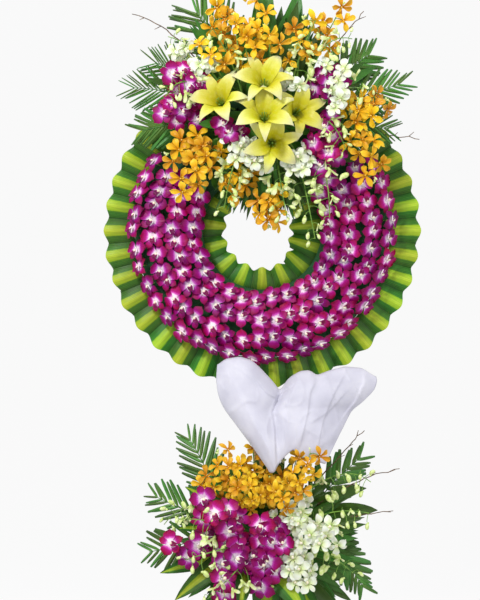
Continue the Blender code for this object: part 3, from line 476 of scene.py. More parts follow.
mokara = {
    "petals": ((0, 0.031, 0.0078), (68, 0.030, 0.0084), (140, 0.029, 0.0092), (220, 0.029, 0.0092),
               (292, 0.030, 0.0084)),
    "form": {"columns": 3, "rows": 6, "peak": 0.72, "foot": 0.22, "cup": 0.42, "rise": 0.34, "curl": 0.36,
             "round": 0.06, "ruffle": 0.30, "thickness": 0.0008},
    "lipLength": 0.010, "lipHalfWidth": 0.0040, "uneven": 0.26,
}
# a heart's column is (radius, length, centre, direction), and the arms of its lip are tubes of these radii
dendrobiumHeart = {"column": (0.0046, 0.0110, (0, -0.0020, 0.0082), (0, -0.45, 1)),
                   "armRadii": (0.0020, 0.0010)}
mokaraHeart = {"column": (0.0020, 0.007, (0, 0, 0.0045), (0, -0.3, 1))}
# how far a petal's rise, curl, length, half width and angle stray where uneven is 1
petalStray = ((-1.2, 1.2), (-0.8, 1.4), (-0.5, 0.4), (-0.8, 0.4), (-60, 60))
broadPairLift = 0.0012  # the broad pair lies over the three sepals


def unevenPetals(name, look, material):
    blades = []
    for index, (angle, length, halfWidth) in enumerate(look["petals"]):
        rise, curl, longer, wider, turn = [draw.uniform(*span) * look["uneven"] for span in petalStray]
        form = dict(look["form"], rise=look["form"]["rise"] + rise, curl=look["form"]["curl"] + curl)
        lift = broadPairLift if index in (1, 4) else 0.0
        blades.append(petal(f"{name}{index}", form, length * (1 + longer), halfWidth * (1 + wider),
                            angle + turn, material, lift))
    return blades


def makeDendrobium(name, look, petalMaterial, lipMaterial, armMaterial):
    parts = unevenPetals(name, look, petalMaterial)

    def lipPlace(u, v):  # a tongue that folds up at its sides and hangs forward
        width = look["lipHalfWidth"] * (0.45 + 0.55 * math.sin(math.pi * min(1, 0.15 + v * 0.75)))
        height = 0.0035 + 0.011 * math.sin(math.pi * 0.75 * v) + 0.0045 * u * u * (1 - 0.6 * v)
        return Vector((u * width, -0.001 - look["lipLength"] * v, height))

    parts.append(shapedGrid(f"{name}Lip", 2, 4, lipPlace, lipMaterial, 0.0007))
    parts.append(roundBody(f"{name}Column", *dendrobiumHeart["column"], creamColumn, 8, 5))
    # two thin arms beside the column stand for the lip's side lobes; on the magenta blooms their pale colour
    # is partly the lobes' white edge and partly a painted highlight
    reach = look["armLength"]
    lines = []
    for side in (-1, 1):
        points = routePoints((side * 0.0012, 0.001, 0.004), (side * 0.0068, -0.25 * reach, 0.0095),
                             (side * 0.0050, -reach, 0.0080), 4)
        lines.append((points, *dendrobiumHeart["armRadii"]))
    parts.append(stemTubes(f"{name}Arms", lines, armMaterial))
    return joined(name, parts)


def makeMokara(name):
    parts = unevenPetals(name, mokara, orangePetal)

    def lipPlace(u, v):
        width = mokara["lipHalfWidth"] * (0.6 + 0.4 * math.sin(math.pi * v))
        return Vector((u * width, -0.001 - mokara["lipLength"] * v, 0.003 + 0.006 * v + 0.003 * u * u))

    parts.append(shapedGrid(f"{name}Lip", 2, 3, lipPlace, orangePetal, 0.0008))
    parts.append(roundBody(f"{name}Column", *mokaraHeart["column"], yellowColumn))
    return joined(name, parts)


def makeLeaflet():
    # a narrow palm leaflet of unit length, folded along its rib
    def place(u, v):
        width = 0.5 * min(1, 0.35 + 4 * v) * (1 - 0.50 * max(0.0, (v - 0.45) / 0.55) ** 3)
        return Vector((u * width, v, -0.8 * abs(u) * width - 0.9 * v * v))

    return shapedGrid("leafletMaster", 2, 5, place, palmLeaf, 0.06)


def makeBud():
    # an unopened orchid of unit length: a drop with a spur at its foot
    body = roundBody("budBody", 0.24, 0.80, (0, 0, 0.56), (0, 0, 1), paleBud, 7, 5)
    spur = roundBody("budSpur", 0.13, 0.42, (0.12, 0, 0.22), (0.7, 0, -0.6), paleBud)
    return joined("budMaster", [body, spur])


def makeOpeningBud():
    # a bud of unit length whose sepals have begun to part
    form = {"columns": 2, "rows": 4, "peak": 0.5, "foot": 0.4, "cup": 0.5, "rise": 1.1, "curl": 0.1,
            "round": 0.1, "ruffle": 0.1, "thickness": 0.03}
    parts = [petal(f"openSepal{angle}", form, 0.62, 0.26, angle, budPetal) for angle in (0, 110, 235)]
    parts.append(roundBody("openSpur", 0.14, 0.50, (0.06, 0, 0.10), (0.5, 0, -0.8), paleBud))
    return joined("openingBudMaster", parts)


magentaBlooms = [makeDendrobium(f"magentaMaster{n}", dendrobium, magentaPetal, magentaLip, paleArmAndHighlight)
                 for n in range(4)]
whiteBlooms = [makeDendrobium(f"whiteMaster{n}", whiteDendrobium, whitePetal, whitePetal, whitePetal)
               for n in range(3)]
mokaraBlooms = [makeMokara(f"mokaraMaster{n}") for n in range(5)]
leafletMaster = makeLeaflet()
budMaster = makeBud()
openingBud = makeOpeningBud()
masters = [*magentaBlooms, *whiteBlooms, *mokaraBlooms, leafletMaster, budMaster, openingBud]
print("masters made, faces:", [len(master.data.polygons) for master in masters])


# Ring: the numbers that part.py gives it, in metres
ring = {"height": 1.145, "bandRadius": 0.236, "bandHalfWidth": 0.086, "bandEdge": -0.062, "dome": 0.036}


def onRing(angle, radius, depth):
    turn = math.radians(angle)  # clockwise from the top, seen from the front
    return Vector((radius * math.sin(turn), depth, ring["height"] + radius * math.cos(turn)))


def ringOutward(angle):
    return onRing(angle, 1, 0) - onRing(angle, 0, 0)


def domePoint(turn):
    # radius and depth at this turn of the domed band, from its inner edge at -90 to its outer edge at 90
    place = math.radians(turn)
    radius = ring["bandRadius"] + ring["bandHalfWidth"] * math.sin(place)
    return radius, ring["bandEdge"] - ring["dome"] * math.cos(place)


# Collars of folded leaves: the striped middle stands forward, and each leaf laps over the next in the valley.
# A swell (most, angle, span) makes the leaves near an angle longer.
collars = {
    "outer": {"leaves": 38, "first": 0, "foot": 0.322, "tip": 0.4005, "depth": -0.0535,
              "fold": (0.0035, 0.0095), "notch": 0.011, "rows": 6, "swell": (0.0, 0, 1)},
    "inner": {"leaves": 15, "first": 6, "foot": 0.1500, "tip": 0.0915, "depth": -0.0575,
              "fold": (0.0025, 0.0080), "notch": 0.012, "rows": 5, "swell": (0.026, 97, 34)},
}
collarLook = {
    "arcs": 5, "overlap": 1.10, "lap": 0.0008, "columns": 14, "thickness": 0.0009, "lean": 0.025,
    "longer": (-0.002, 0.001), "sag": 0.0025, "rim": 0.9,
}


def collarLeaf(look, index):
    pitch = 360 / look["leaves"]
    middle = (index + 0.5) * pitch
    lean = stray(collarLook["lean"])
    longer = draw.uniform(*collarLook["longer"])
    swell, centre, span = look["swell"]
    longer += swell * math.exp(-((middle % 360 - centre) / span) ** 2)
    outward = 1 if look["tip"] > look["foot"] else -1
    foldFoot, foldTip = look["fold"]

    def place(u, v):
        crest = 1 - abs(u) ** 1.25  # flat facets that meet in a soft fold
        fold = foldFoot + (foldTip - foldFoot) * v
        angle = middle + pitch * (0.5 * collarLook["overlap"] * u + lean * v)
        notch = look["notch"] * (0.5 - 0.5 * math.cos(math.pi * min(1, abs(u))))
        rim = look["tip"] + outward * (longer - notch)
        radius = look["foot"] + (rim - look["foot"]) * v
        sag = collarLook["sag"] * math.sin(math.pi * v)
        depth = look["depth"] + fold * (1 - 2 * crest) - sag + collarLook["lap"] * u
        if v > collarLook["rim"]:  # the rim rolls back
            depth += collarLook["sag"] * (v - collarLook["rim"]) / (1 - collarLook["rim"])
        return onRing(angle, radius, depth)

    leaf = shapedGrid(f"leaf{index}", collarLook["columns"], look["rows"], place, stripedLeaf,
                      collarLook["thickness"])
    return tinted(leaf, draw.random())


def makeCollars():
    for side, look in collars.items():
        for arc in range(collarLook["arcs"]):
            first, last = [round(end * look["leaves"] / collarLook["arcs"]) + look["first"]
                           for end in (arc, arc + 1)]
            leaves = [collarLeaf(look, index) for index in range(first, last)]
            piece = joined(f"{side}Collar{arc + 1}", leaves, angle=40)
            keep(piece, "striped_leaf", f"{side}_leaves_{arc + 1}")
    print("collars made")


# Band of orchids round the ring: rows from the outer edge in, as (turn of the dome, lean, blooms in an arc)
ringOrchids = {
    "arcs": 5, "start": 55, "rows": ((52, 45, 6), (22, 18, 6), (-7, -6, 5), (-35, -25, 4)),
    "rowShifts": (0.7, 0.3), "stalk": 0.0205, "stalkRadii": (0.0013, 0.0016), "lap": 15, "twist": 0.45,
    "sizes": (0.88, 1.08),
    # how far a bloom's angle, turn of the dome, lean, stalk and lap stray
    "wander": 1.5, "turnStray": 5, "leanStray": 8, "stalkStray": 0.002, "lapStray": 6,
}


def makeRingOrchids():
    arc = (360 - 2 * ringOrchids["start"]) / ringOrchids["arcs"]
    for number in range(ringOrchids["arcs"]):
        start = ringOrchids["start"] + number * arc
        parts, lines = [], []
        for row, (turn, lean, count) in enumerate(ringOrchids["rows"]):
            for index in range(count):
                angle = start + arc * (index + ringOrchids["rowShifts"][row % 2]) / count
                angle += stray(ringOrchids["wander"])
                radius, depth = domePoint(turn + stray(ringOrchids["turnStray"]))
                tilt = math.radians(lean + stray(ringOrchids["leanStray"]))
                outward = ringOutward(angle)
                stalk = front * math.cos(tilt) + outward * math.sin(tilt)
                foot = onRing(angle, radius, depth)
                centre = foot + stalk * (ringOrchids["stalk"] + stray(ringOrchids["stalkStray"]))
                lipWay = Vector((-math.cos(math.radians(angle)), 0, math.sin(math.radians(angle))))
                lap = math.radians(ringOrchids["lap"] + stray(ringOrchids["lapStray"]))
                facing = stalk * math.cos(lap) - lipWay * math.sin(lap)
                top = outward * stray(ringOrchids["twist"]) - lipWay
                matrix = facingMatrix(centre, facing, top, draw.uniform(*ringOrchids["sizes"]))
                parts.append(twinOf(draw.choice(magentaBlooms), matrix, draw.random()))
                lines.append(((foot - stalk * 0.004, centre - facing * 0.002), *ringOrchids["stalkRadii"]))
        parts.append(stemTubes(f"ringStalks{number}", lines, greenStem))
        keep(joined(f"ringOrchids{number + 1}", parts), "magenta_petal", f"ring_orchids_{number + 1}")
    print("ring orchids made")


# Lilies: hole in the foam's front, throat, facing, turn and size, as in part.py
lilies = {
    "places": (
        ((-0.062, 1.440), (-0.098, -0.214, 1.446), (-0.34, -1, 0.50), 30, 0.96),
        ((0.005, 1.450), (0.004, -0.212, 1.488), (0.00, -1, 0.66), 30, 1.00),
        ((0.080, 1.425), (0.076, -0.193, 1.426), (0.42, -1, 0.22), 10, 0.96),
        ((0.045, 1.375), (0.020, -0.208, 1.356), (0.10, -1, -0.08), 12, 0.96),
        ((0.000, 1.405), (0.003, -0.240, 1.404), (0.02, -1, 0.62), 0, 1.03),
    ),
    "foamFront": -0.172, "inFoam": 0.018, "stalkRadii": (0.0026, 0.0034),
    # radius and height of a petal's middle line over the throat, from foot to tip
    "radii": (0.0020, 0.0100, 0.0190, 0.0300, 0.0450, 0.0620, 0.0790),
    "heights": (0.0, 0.018, 0.033, 0.045, 0.0530, 0.0540, 0.0450),
    # broad petals, then slim ones: half widths from foot to tip, how much further out, and how much lower
    "kinds": (((0.0035, 0.0116, 0.0184, 0.0226, 0.0212, 0.0138, 0.0012), 0.0, 0.0),
              ((0.0030, 0.0094, 0.0137, 0.0157, 0.0143, 0.0094, 0.0012), 0.0015, 0.007)),
    "groove": 0.0048, "ruffle": 0.0042, "wrap": 0.014, "droop": (-0.007, 0.005), "twist": 0.12,
    "columns": 8, "rows": 14, "thickness": 0.0010,
    # spread and height of the tips in the throat, radii of the stalk and of the ball on it, and its length
    "filament": (0.010, 0.026, (0.0007, 0.0006), 0.0011, 0.005),
    "style": (0.0, 0.040, (0.0012, 0.0013), 0.0019, 0.003),
}


def between(values, share):
    # reads a smooth value from evenly spaced ones
    reach = share * (len(values) - 1)
    first = min(int(reach), len(values) - 2)
    part = reach - first
    before = values[max(first - 1, 0)]
    start, end = values[first], values[first + 1]
    after = values[min(first + 2, len(values) - 1)]
    slopeStart, slopeEnd = (end - before) / 2, (after - start) / 2
    square, cube = part * part, part ** 3
    return ((2 * cube - 3 * square + 1) * start + (cube - 2 * square + part) * slopeStart
            + (3 * square - 2 * cube) * end + (cube - square) * slopeEnd)


def lilyBlade(index):
    widths, further, drop = lilies["kinds"][index % 2]
    wobble = draw.uniform(0, 6)
    droop = draw.uniform(*lilies["droop"]) - drop
    twist = stray(lilies["twist"])
    wrap = lilies["wrap"]

    def place(u, v):
        radius = between(lilies["radii"], v) + further
        height = between(lilies["heights"], v) + droop * v * v
        width = between(widths, v)
        groove = lilies["groove"] * (1 - abs(u)) ** 1.6 * math.sin(math.pi * min(1, v + 0.12))
        edge = lilies["ruffle"] * math.sin(10 * v + wobble + 2 * u) * u * u * v
        bend = u * width / (radius + wrap)  # the petals wrap round the throat
        reach = (radius + wrap + groove * 0.6) * math.cos(bend) - wrap
        side = (radius + wrap) * math.sin(bend)
        return Vector((side, reach, height - groove * 0.8 + edge + twist * u * width * v))

    return shapedGrid(f"lilyPetal{index}", lilies["columns"], lilies["rows"], place, lilyPetal,
                      lilies["thickness"])


def makeLilies():
    for number, ((holeX, holeZ), throat, facing, turn, size) in enumerate(lilies["places"]):
        facing, throat = Vector(facing).normalized(), Vector(throat)
        parts = []
        for index in range(6):
            blade = lilyBlade(index)
            blade.data.transform(Matrix.Rotation(math.radians(-(60 * index + turn)), 4, "Z"))
            parts.append(tinted(blade, draw.random()))
        lines = []  # six short filaments and a style in the throat
        for index in range(7):
            reach, height, radii, ballRadius, ballLength = lilies["filament" if index < 6 else "style"]
            turned = math.radians(60 * index + 30 + turn)
            tip = Vector((math.sin(turned) * reach, math.cos(turned) * reach, height))
            lines.append((routePoints((0, 0, 0.002), tip * 0.5 + up * 0.002, tip, 4), *radii))
            parts.append(roundBody(f"anther{index}", ballRadius, ballLength, tip,
                                   (math.cos(turned), -math.sin(turned), 0.4), greenStem))
        parts.append(stemTubes(f"lilyHeart{number}", lines, greenStem))
        matrix = facingMatrix(throat, facing, up, size)
        for part in parts:
            part.data.transform(matrix)
        foot = Vector((holeX, lilies["foamFront"] + lilies["inFoam"], holeZ))
        stalk = routePoints(foot, (foot + throat) / 2 + front * 0.006, throat + facing * 0.002, 8)
        parts.append(stemTubes(f"lilyStalk{number}", [(stalk, *lilies["stalkRadii"])], greenStem))
        keep(joined(f"lily{number + 1}", parts, angle=60), "yellow_petal", f"lily_{number + 1}")
    print("lilies made")


# Flowering branches. Each bunch: node, hole in the foam, way out, and branches as (middle, tip, blooms, first
# bloom's place). A bunch without a node is one that the solids leave out.
bunches = {
    "orange": (
        ("mokara_top_left", (-0.050, -0.138, 1.465), up, (
            ((-0.090, -0.150, 1.600), (-0.114, -0.150, 1.698), 6, 0.36),
            ((-0.062, -0.186, 1.600), (-0.070, -0.180, 1.668), 4, 0.42),
            ((-0.108, -0.190, 1.530), (-0.134, -0.182, 1.606), 4, 0.42))),
        ("mokara_top_middle", (0.020, -0.138, 1.465), up, (
            ((-0.008, -0.162, 1.610), (-0.014, -0.150, 1.735), 7, 0.34),
            ((0.018, -0.198, 1.575), (0.012, -0.190, 1.642), 4, 0.42),
            ((-0.034, -0.190, 1.560), (-0.036, -0.185, 1.620), 3, 0.45))),
        ("mokara_top_right", (0.085, -0.138, 1.465), up, (
            ((0.140, -0.160, 1.590), (0.195, -0.155, 1.695), 6, 0.42),
            ((0.090, -0.178, 1.575), (0.102, -0.170, 1.660), 5, 0.42))),
        ("mokara_left", (-0.090, -0.150, 1.372), left, (
            ((-0.140, -0.188, 1.320), (-0.200, -0.185, 1.235), 9, 0.30),
            ((-0.160, -0.156, 1.352), (-0.230, -0.156, 1.335), 7, 0.30))),
        ("mokara_hanging", (0.010, -0.145, 1.350), down, (
            ((0.014, -0.165, 1.230), (0.014, -0.155, 1.160), 7, 0.48),
            ((-0.050, -0.160, 1.290), (-0.070, -0.155, 1.235), 6, 0.38))),
        ("mokara_right", (0.115, -0.150, 1.405), right, (
            ((0.220, -0.168, 1.430), (0.300, -0.150, 1.462), 8, 0.42),
            ((0.232, -0.168, 1.378), (0.276, -0.155, 1.278), 8, 0.42))),
        ("mokara_lower", (0.000, -0.080, 0.430), up, (
            ((-0.085, -0.140, 0.495), (-0.150, -0.125, 0.510), 9, 0.28),
            ((-0.055, -0.165, 0.520), (-0.105, -0.150, 0.585), 8, 0.36),
            ((-0.020, -0.170, 0.470), (-0.060, -0.180, 0.505), 6, 0.40),
            ((0.012, -0.118, 0.470), (0.018, -0.116, 0.515), 6, 0.36),
            # these three stand behind the cloth's point
            ((-0.014, -0.088, 0.500), (-0.024, -0.086, 0.600), 9, 0.36),
            ((0.058, -0.088, 0.490), (0.086, -0.086, 0.580), 6, 0.36),
            ((0.030, -0.100, 0.490), (0.052, -0.098, 0.556), 4, 0.50),
            ((0.040, -0.175, 0.470), (0.062, -0.180, 0.520), 6, 0.40),
            ((0.078, -0.180, 0.510), (0.118, -0.180, 0.592), 8, 0.42))),
    ),
    "magenta": (
        ("purple_left", (-0.090, -0.150, 1.430), left, (
            ((-0.160, -0.180, 1.480), (-0.225, -0.180, 1.525), 6, 0.48),
            ((-0.175, -0.160, 1.436), (-0.245, -0.155, 1.430), 6, 0.44))),
        ("purple_right", (0.115, -0.155, 1.362), right, (
            ((0.160, -0.178, 1.345), (0.160, -0.165, 1.265), 6, 0.30),)),
        ("purple_top", (0.115, -0.155, 1.438), right, (
            ((0.150, -0.185, 1.490), (0.190, -0.170, 1.525), 6, 0.35),)),
        ("purple_lower", (-0.035, -0.110, 0.385), front, (
            ((-0.100, -0.195, 0.435), (-0.155, -0.185, 0.458), 5, 0.35),
            ((-0.125, -0.158, 0.370), (-0.222, -0.145, 0.345), 5, 0.38),
            ((-0.075, -0.195, 0.320), (-0.112, -0.185, 0.262), 4, 0.38),
            ((-0.010, -0.160, 0.330), (-0.040, -0.155, 0.240), 5, 0.30),
            ((-0.060, -0.175, 0.405), (-0.095, -0.180, 0.395), 4, 0.40),
            ((-0.045, -0.185, 0.345), (-0.090, -0.190, 0.335), 4, 0.40))),
        ("", (-0.050, -0.172, 1.400), front, (  # the blooms beside the lilies, which the solids leave out
            ((-0.072, -0.203, 1.398), (-0.084, -0.208, 1.368), 4, 0.55),)),
        ("", (0.113, -0.150, 1.395), right, (
            ((0.150, -0.174, 1.415), (0.146, -0.188, 1.350), 5, 0.45),)),
        ("", (0.020, -0.110, 0.360), front, (
            ((0.018, -0.180, 0.385), (0.034, -0.190, 0.335), 5, 0.40),
            ((-0.002, -0.168, 0.385), (-0.004, -0.172, 0.416), 3, 0.45),
            ((0.000, -0.175, 0.340), (0.018, -0.180, 0.268), 5, 0.42))),
    ),
    "white": (
        ("white_low", (-0.040, -0.172, 1.372), front, (
            ((-0.055, -0.205, 1.355), (-0.045, -0.205, 1.322), 5, 0.40),)),
        ("white_lower", (0.045, -0.110, 0.390), front, (
            ((0.060, -0.160, 0.425), (0.110, -0.150, 0.455), 7, 0.40),
            ((0.110, -0.200, 0.395), (0.185, -0.185, 0.390), 8, 0.35),
            ((0.075, -0.165, 0.335), (0.110, -0.155, 0.265), 9, 0.35))),
        ("", (-0.085, -0.160, 1.462), up, (
            ((-0.130, -0.185, 1.515), (-0.160, -0.190, 1.556), 4, 0.66),
            ((-0.150, -0.150, 1.535), (-0.220, -0.140, 1.586), 3, 0.84))),
        ("", (0.060, -0.165, 1.462), up, (
            ((0.064, -0.200, 1.490), (0.066, -0.205, 1.520), 4, 0.60),
            ((0.120, -0.185, 1.510), (0.200, -0.192, 1.536), 3, 0.78))),
        ("", (0.105, -0.165, 1.455), right, (
            ((0.155, -0.205, 1.462), (0.195, -0.195, 1.462), 4, 0.65),)),
        ("", (0.060, -0.172, 1.362), front, (
            ((0.080, -0.198, 1.335), (0.098, -0.195, 1.285), 6, 0.55),)),
        ("", (0.000, -0.172, 1.362), front, (
            ((-0.010, -0.205, 1.330), (-0.020, -0.205, 1.305), 4, 0.60),)),
    ),
}
branchLook = {
    "out": 0.020, "inFoam": 0.020, "pastFork": 0.002, "footRadii": (0.0029, 0.0028),
    # every third bloom stands at the left, at the right or in the middle, this far in front of its branch
    "sides": (-1, 1, 0), "spread": 0.022, "reach": (0.013, 0.025, 0.031), "stalkRadii": (0.0009, 0.0012),
    "radii": (0.0026, 0.0012), "sizes": (0.86, 1.05), "lastBloom": 0.985,
    "sideTurn": 0.30, "sideRoll": 0.5, "rollStray": 0.6, "outStray": 0.003, "onStray": 0.004,
    "buds": (0.013, 0.011, 0.009), "budStep": 0.02, "budSpread": 0.6,  # unopened ones at the tip
}
lowerSpray = 0.6  # stems below this height belong to it
bloomKinds = {  # blooms, slot, size in the upper and in the lower spray, how far they may turn from the front
    "orange": (mokaraBlooms, "orange_petal", 1.0, 0.86, 0.60),
    "magenta": (magentaBlooms, "magenta_petal", 0.98, 0.98 * 1.18, 0.40),
    "white": (whiteBlooms, "white_petal", 0.88, 0.88, 0.55),
}


def flowerBranch(fork, branch, blooms, size, turn, parts, lines):
    middle, tip, count, first = branch
    points = routePoints(fork, middle, tip, 10)
    lines.append((points, *branchLook["radii"]))
    for index in range(count):
        foot, onward = along(points, first + (branchLook["lastBloom"] - first) * index / (count - 1))
        across = onward.cross(front).normalized()
        side, reach = branchLook["sides"][index % 3], branchLook["reach"][index % 3]
        centre = foot + across * side * branchLook["spread"] + front * (reach + stray(branchLook["outStray"]))
        centre += onward * stray(branchLook["onStray"])
        facing = front + across * (side * branchLook["sideTurn"] + stray(turn)) + onward * stray(turn)
        roll = onward + across * (side * branchLook["sideRoll"] + stray(branchLook["rollStray"]))
        matrix = facingMatrix(centre, facing, roll, size * draw.uniform(*branchLook["sizes"]))
        parts.append(twinOf(draw.choice(blooms), matrix, draw.random()))
        back = centre - facing.normalized() * 0.002
        stalk = routePoints(foot, (foot + back) / 2 + onward * 0.003, back, 4)
        lines.append((stalk, *branchLook["stalkRadii"]))
    for index, budSize in enumerate(branchLook["buds"]):
        foot, onward = along(points, 1.0 + branchLook["budStep"] * index)
        across = onward.cross(front).normalized()
        way = (onward + across * (index - 1) * branchLook["budSpread"] + front * 0.3).normalized()
        matrix = Matrix.Translation(foot + onward * 0.002) @ pointing(way) @ Matrix.Scale(budSize, 4)
        parts.append(twinOf(budMaster, matrix, draw.random()))


def makeBunches():
    for colour, group in bunches.items():
        blooms, slot, upperSize, lowerSize, turn = bloomKinds[colour]
        for number, (node, hole, out, branches) in enumerate(group):
            fork, stub = stemFoot(hole, out, branchLook)
            size = lowerSize if hole[2] < lowerSpray else upperSize
            parts, lines = [], [stub]
            for branch in branches:
                flowerBranch(fork, branch, blooms, size, turn, parts, lines)
            parts.append(stemTubes(f"{colour}Stems{number}", lines, greenStem))
            keep(joined(f"{colour}Bunch{number + 1}", parts), slot, node)
    print("bunches made")


# Fronds and broad leaves that leave the foam together. Palm: reach of its leaflets, their width as a share of
# it, and how many widths they stand apart; leaf: its half width
greens = (
    ("palm_top", (-0.010, -0.112, 1.465), up, (
        ("palm", (-0.110, -0.112, 1.620), (-0.165, -0.100, 1.690), 0.125, 0.080, 1.75),
        ("leaf", (0.000, -0.120, 1.640), (0.010, -0.105, 1.790), 0.032),
        ("leaf", (0.060, -0.120, 1.620), (0.090, -0.105, 1.750), 0.030))),
    ("palm_left", (-0.090, -0.112, 1.445), left, (
        ("palm", (-0.190, -0.104, 1.525), (-0.270, -0.092, 1.565), 0.095, 0.065, 1.8),
        ("palm", (-0.220, -0.122, 1.485), (-0.325, -0.112, 1.500), 0.090, 0.065, 1.8))),
    ("palm_left_low", (-0.090, -0.112, 1.395), left, (
        ("palm", (-0.210, -0.138, 1.405), (-0.300, -0.140, 1.390), 0.085, 0.12, 1.0),
        ("leaf", (-0.160, -0.134, 1.350), (-0.230, -0.134, 1.320), 0.030))),
    ("palm_right", (0.115, -0.112, 1.440), right, (
        ("palm", (0.200, -0.104, 1.530), (0.270, -0.092, 1.585), 0.092, 0.13, 1.05),
        ("palm", (0.240, -0.122, 1.475), (0.345, -0.112, 1.510), 0.088, 0.11, 1.4))),
    ("palm_right_low", (0.115, -0.112, 1.385), right, (
        ("palm", (0.230, -0.138, 1.400), (0.315, -0.140, 1.395), 0.080, 0.09, 1.4),
        ("leaf", (0.170, -0.134, 1.350), (0.230, -0.134, 1.315), 0.030))),
    ("leaves_inner", (0.010, -0.116, 1.350), down, (
        ("leaf", (-0.055, -0.128, 1.280), (-0.105, -0.128, 1.200), 0.028),
        ("leaf", (0.005, -0.130, 1.260), (-0.010, -0.130, 1.185), 0.026),
        ("leaf", (0.070, -0.128, 1.280), (0.120, -0.128, 1.210), 0.028))),
    ("palm_lower_left", (-0.070, -0.055, 0.395), left, (
        ("palm", (-0.135, -0.085, 0.530), (-0.185, -0.070, 0.620), 0.085, 0.120, 1.65),
        ("palm", (-0.190, -0.090, 0.440), (-0.270, -0.075, 0.475), 0.080, 0.125, 1.7),
        ("palm", (-0.190, -0.095, 0.360), (-0.285, -0.080, 0.335), 0.085, 0.135, 1.8))),
    ("leaves_lower_right", (0.070, -0.055, 0.395), right, (
        ("palm", (0.165, -0.050, 0.490), (0.250, -0.030, 0.570), 0.085, 0.17, 1.3),
        ("leaf", (0.190, -0.095, 0.435), (0.290, -0.080, 0.440), 0.024),
        ("leaf", (0.175, -0.100, 0.470), (0.262, -0.085, 0.496), 0.020),
        ("palm", (0.180, -0.095, 0.340), (0.255, -0.080, 0.245), 0.080, 0.17, 1.0))),
    ("leaves_lower_front", (0.010, -0.110, 0.345), front, (
        ("striped", (-0.090, -0.140, 0.240), (-0.165, -0.135, 0.140), 0.036),
        ("striped", (0.010, -0.145, 0.230), (0.010, -0.140, 0.110), 0.036),
        ("striped", (0.090, -0.140, 0.240), (0.150, -0.135, 0.130), 0.036))),
    ("", (-0.040, -0.100, 0.345), front, (  # striped leaves that the solids leave out
        ("striped", (-0.125, -0.145, 0.300), (-0.218, -0.145, 0.222), 0.027),
        ("striped", (-0.150, -0.120, 0.318), (-0.256, -0.115, 0.286), 0.022),
        ("striped", (0.050, -0.180, 0.275), (0.105, -0.200, 0.190), 0.034),
        ("striped", (-0.045, -0.190, 0.280), (-0.058, -0.212, 0.205), 0.022),
        ("striped", (-0.110, -0.165, 0.450), (-0.192, -0.170, 0.506), 0.022),
        ("striped", (-0.130, -0.150, 0.395), (-0.210, -0.160, 0.402), 0.018))),
)
greenStub = {"out": 0.014, "inFoam": 0.020, "pastFork": 0.004, "footRadii": (0.0029, 0.0028)}
frondLook = {
    "bare": 0.16, "lastPair": 0.99, "ribRadii": (0.0022, 0.0009),
    # how far leaflets lean onward, in degrees and more towards the tip, droop, and differ in lean and length
    "sweep": 38, "tipSweep": 0.4, "droop": (0.05, 0.24), "leanStray": 0.12, "lengths": (0.92, 1.05),
}
leafLook = {"columns": 6, "rows": 12, "fold": 0.28, "wave": 0.05, "thickness": 0.0011}


def palmFrond(points, reach, width, apart, parts, lines):
    lines.append((points, *frondLook["ribRadii"]))
    bare = frondLook["bare"]
    spine = sum((b - a).length for a, b in zip(points, points[1:])) * (1 - bare)
    pairs = round(spine / (reach * width * apart))
    for index in range(pairs):
        share = (index + 0.5) / pairs
        foot, onward = along(points, bare + (frondLook["lastPair"] - bare) * share)
        across = onward.cross(front).normalized()
        for side in (-1, 1):
            length = reach * (0.62 + 0.38 * math.sin(math.pi * min(1, share + 0.15)))
            length *= draw.uniform(*frondLook["lengths"])
            lean = math.radians(frondLook["sweep"]) + frondLook["tipSweep"] * share
            lean += stray(frondLook["leanStray"])
            way = across * side * math.cos(lean) + onward * math.sin(lean)
            way = (way - front * draw.uniform(*frondLook["droop"])).normalized()
            flank = way.cross(front + across * side * 0.25).normalized()
            face = flank.cross(way)
            turned = Matrix((flank * length * width, way * length, face * length * 0.1))
            matrix = Matrix.Translation(foot) @ turned.transposed().to_4x4()
            parts.append(twinOf(leafletMaster, matrix, draw.random()))


def broadBlade(name, points, halfWidth, material, columns=leafLook["columns"], rows=leafLook["rows"]):
    # a long leaf on its own spine, folded along the rib and waved at its edges
    phase = draw.uniform(0, 6)

    def place(u, v):
        middle, onward = along(points, v)
        across = onward.cross(front).normalized()
        width = halfWidth * max(0.02, math.sin(math.pi * (0.12 + 0.88 * v)) ** 0.75)
        wave = leafLook["wave"] * halfWidth * math.sin(11 * v + phase + 1.5 * u) * u * u
        return middle + across * u * width - front * (leafLook["fold"] * width * (1 - abs(u)) ** 1.3 - wave)

    return tinted(shapedGrid(name, columns, rows, place, material, leafLook["thickness"]), draw.random())


def makeGreens():
    for number, (node, hole, out, blades) in enumerate(greens):
        fork, stub = stemFoot(hole, out, greenStub)
        parts, lines = [], [stub]
        for index, (kind, middle, tip, size, *width) in enumerate(blades):
            points = routePoints(fork, middle, tip, 14)
            if kind == "palm":
                palmFrond(points, size, *width, parts, lines)
            else:
                material = stripedLeaf if kind == "striped" else broadLeaf
                parts.append(broadBlade(f"blade{index}", points, size, material))
        parts.append(stemTubes(f"greenStalks{number}", lines, darkStem))
        slot = "striped_leaf" if blades[0][0] == "striped" else "green_leaf"
        keep(joined(f"greens{number + 1}", parts), slot, node)
    print("fronds and leaves made")


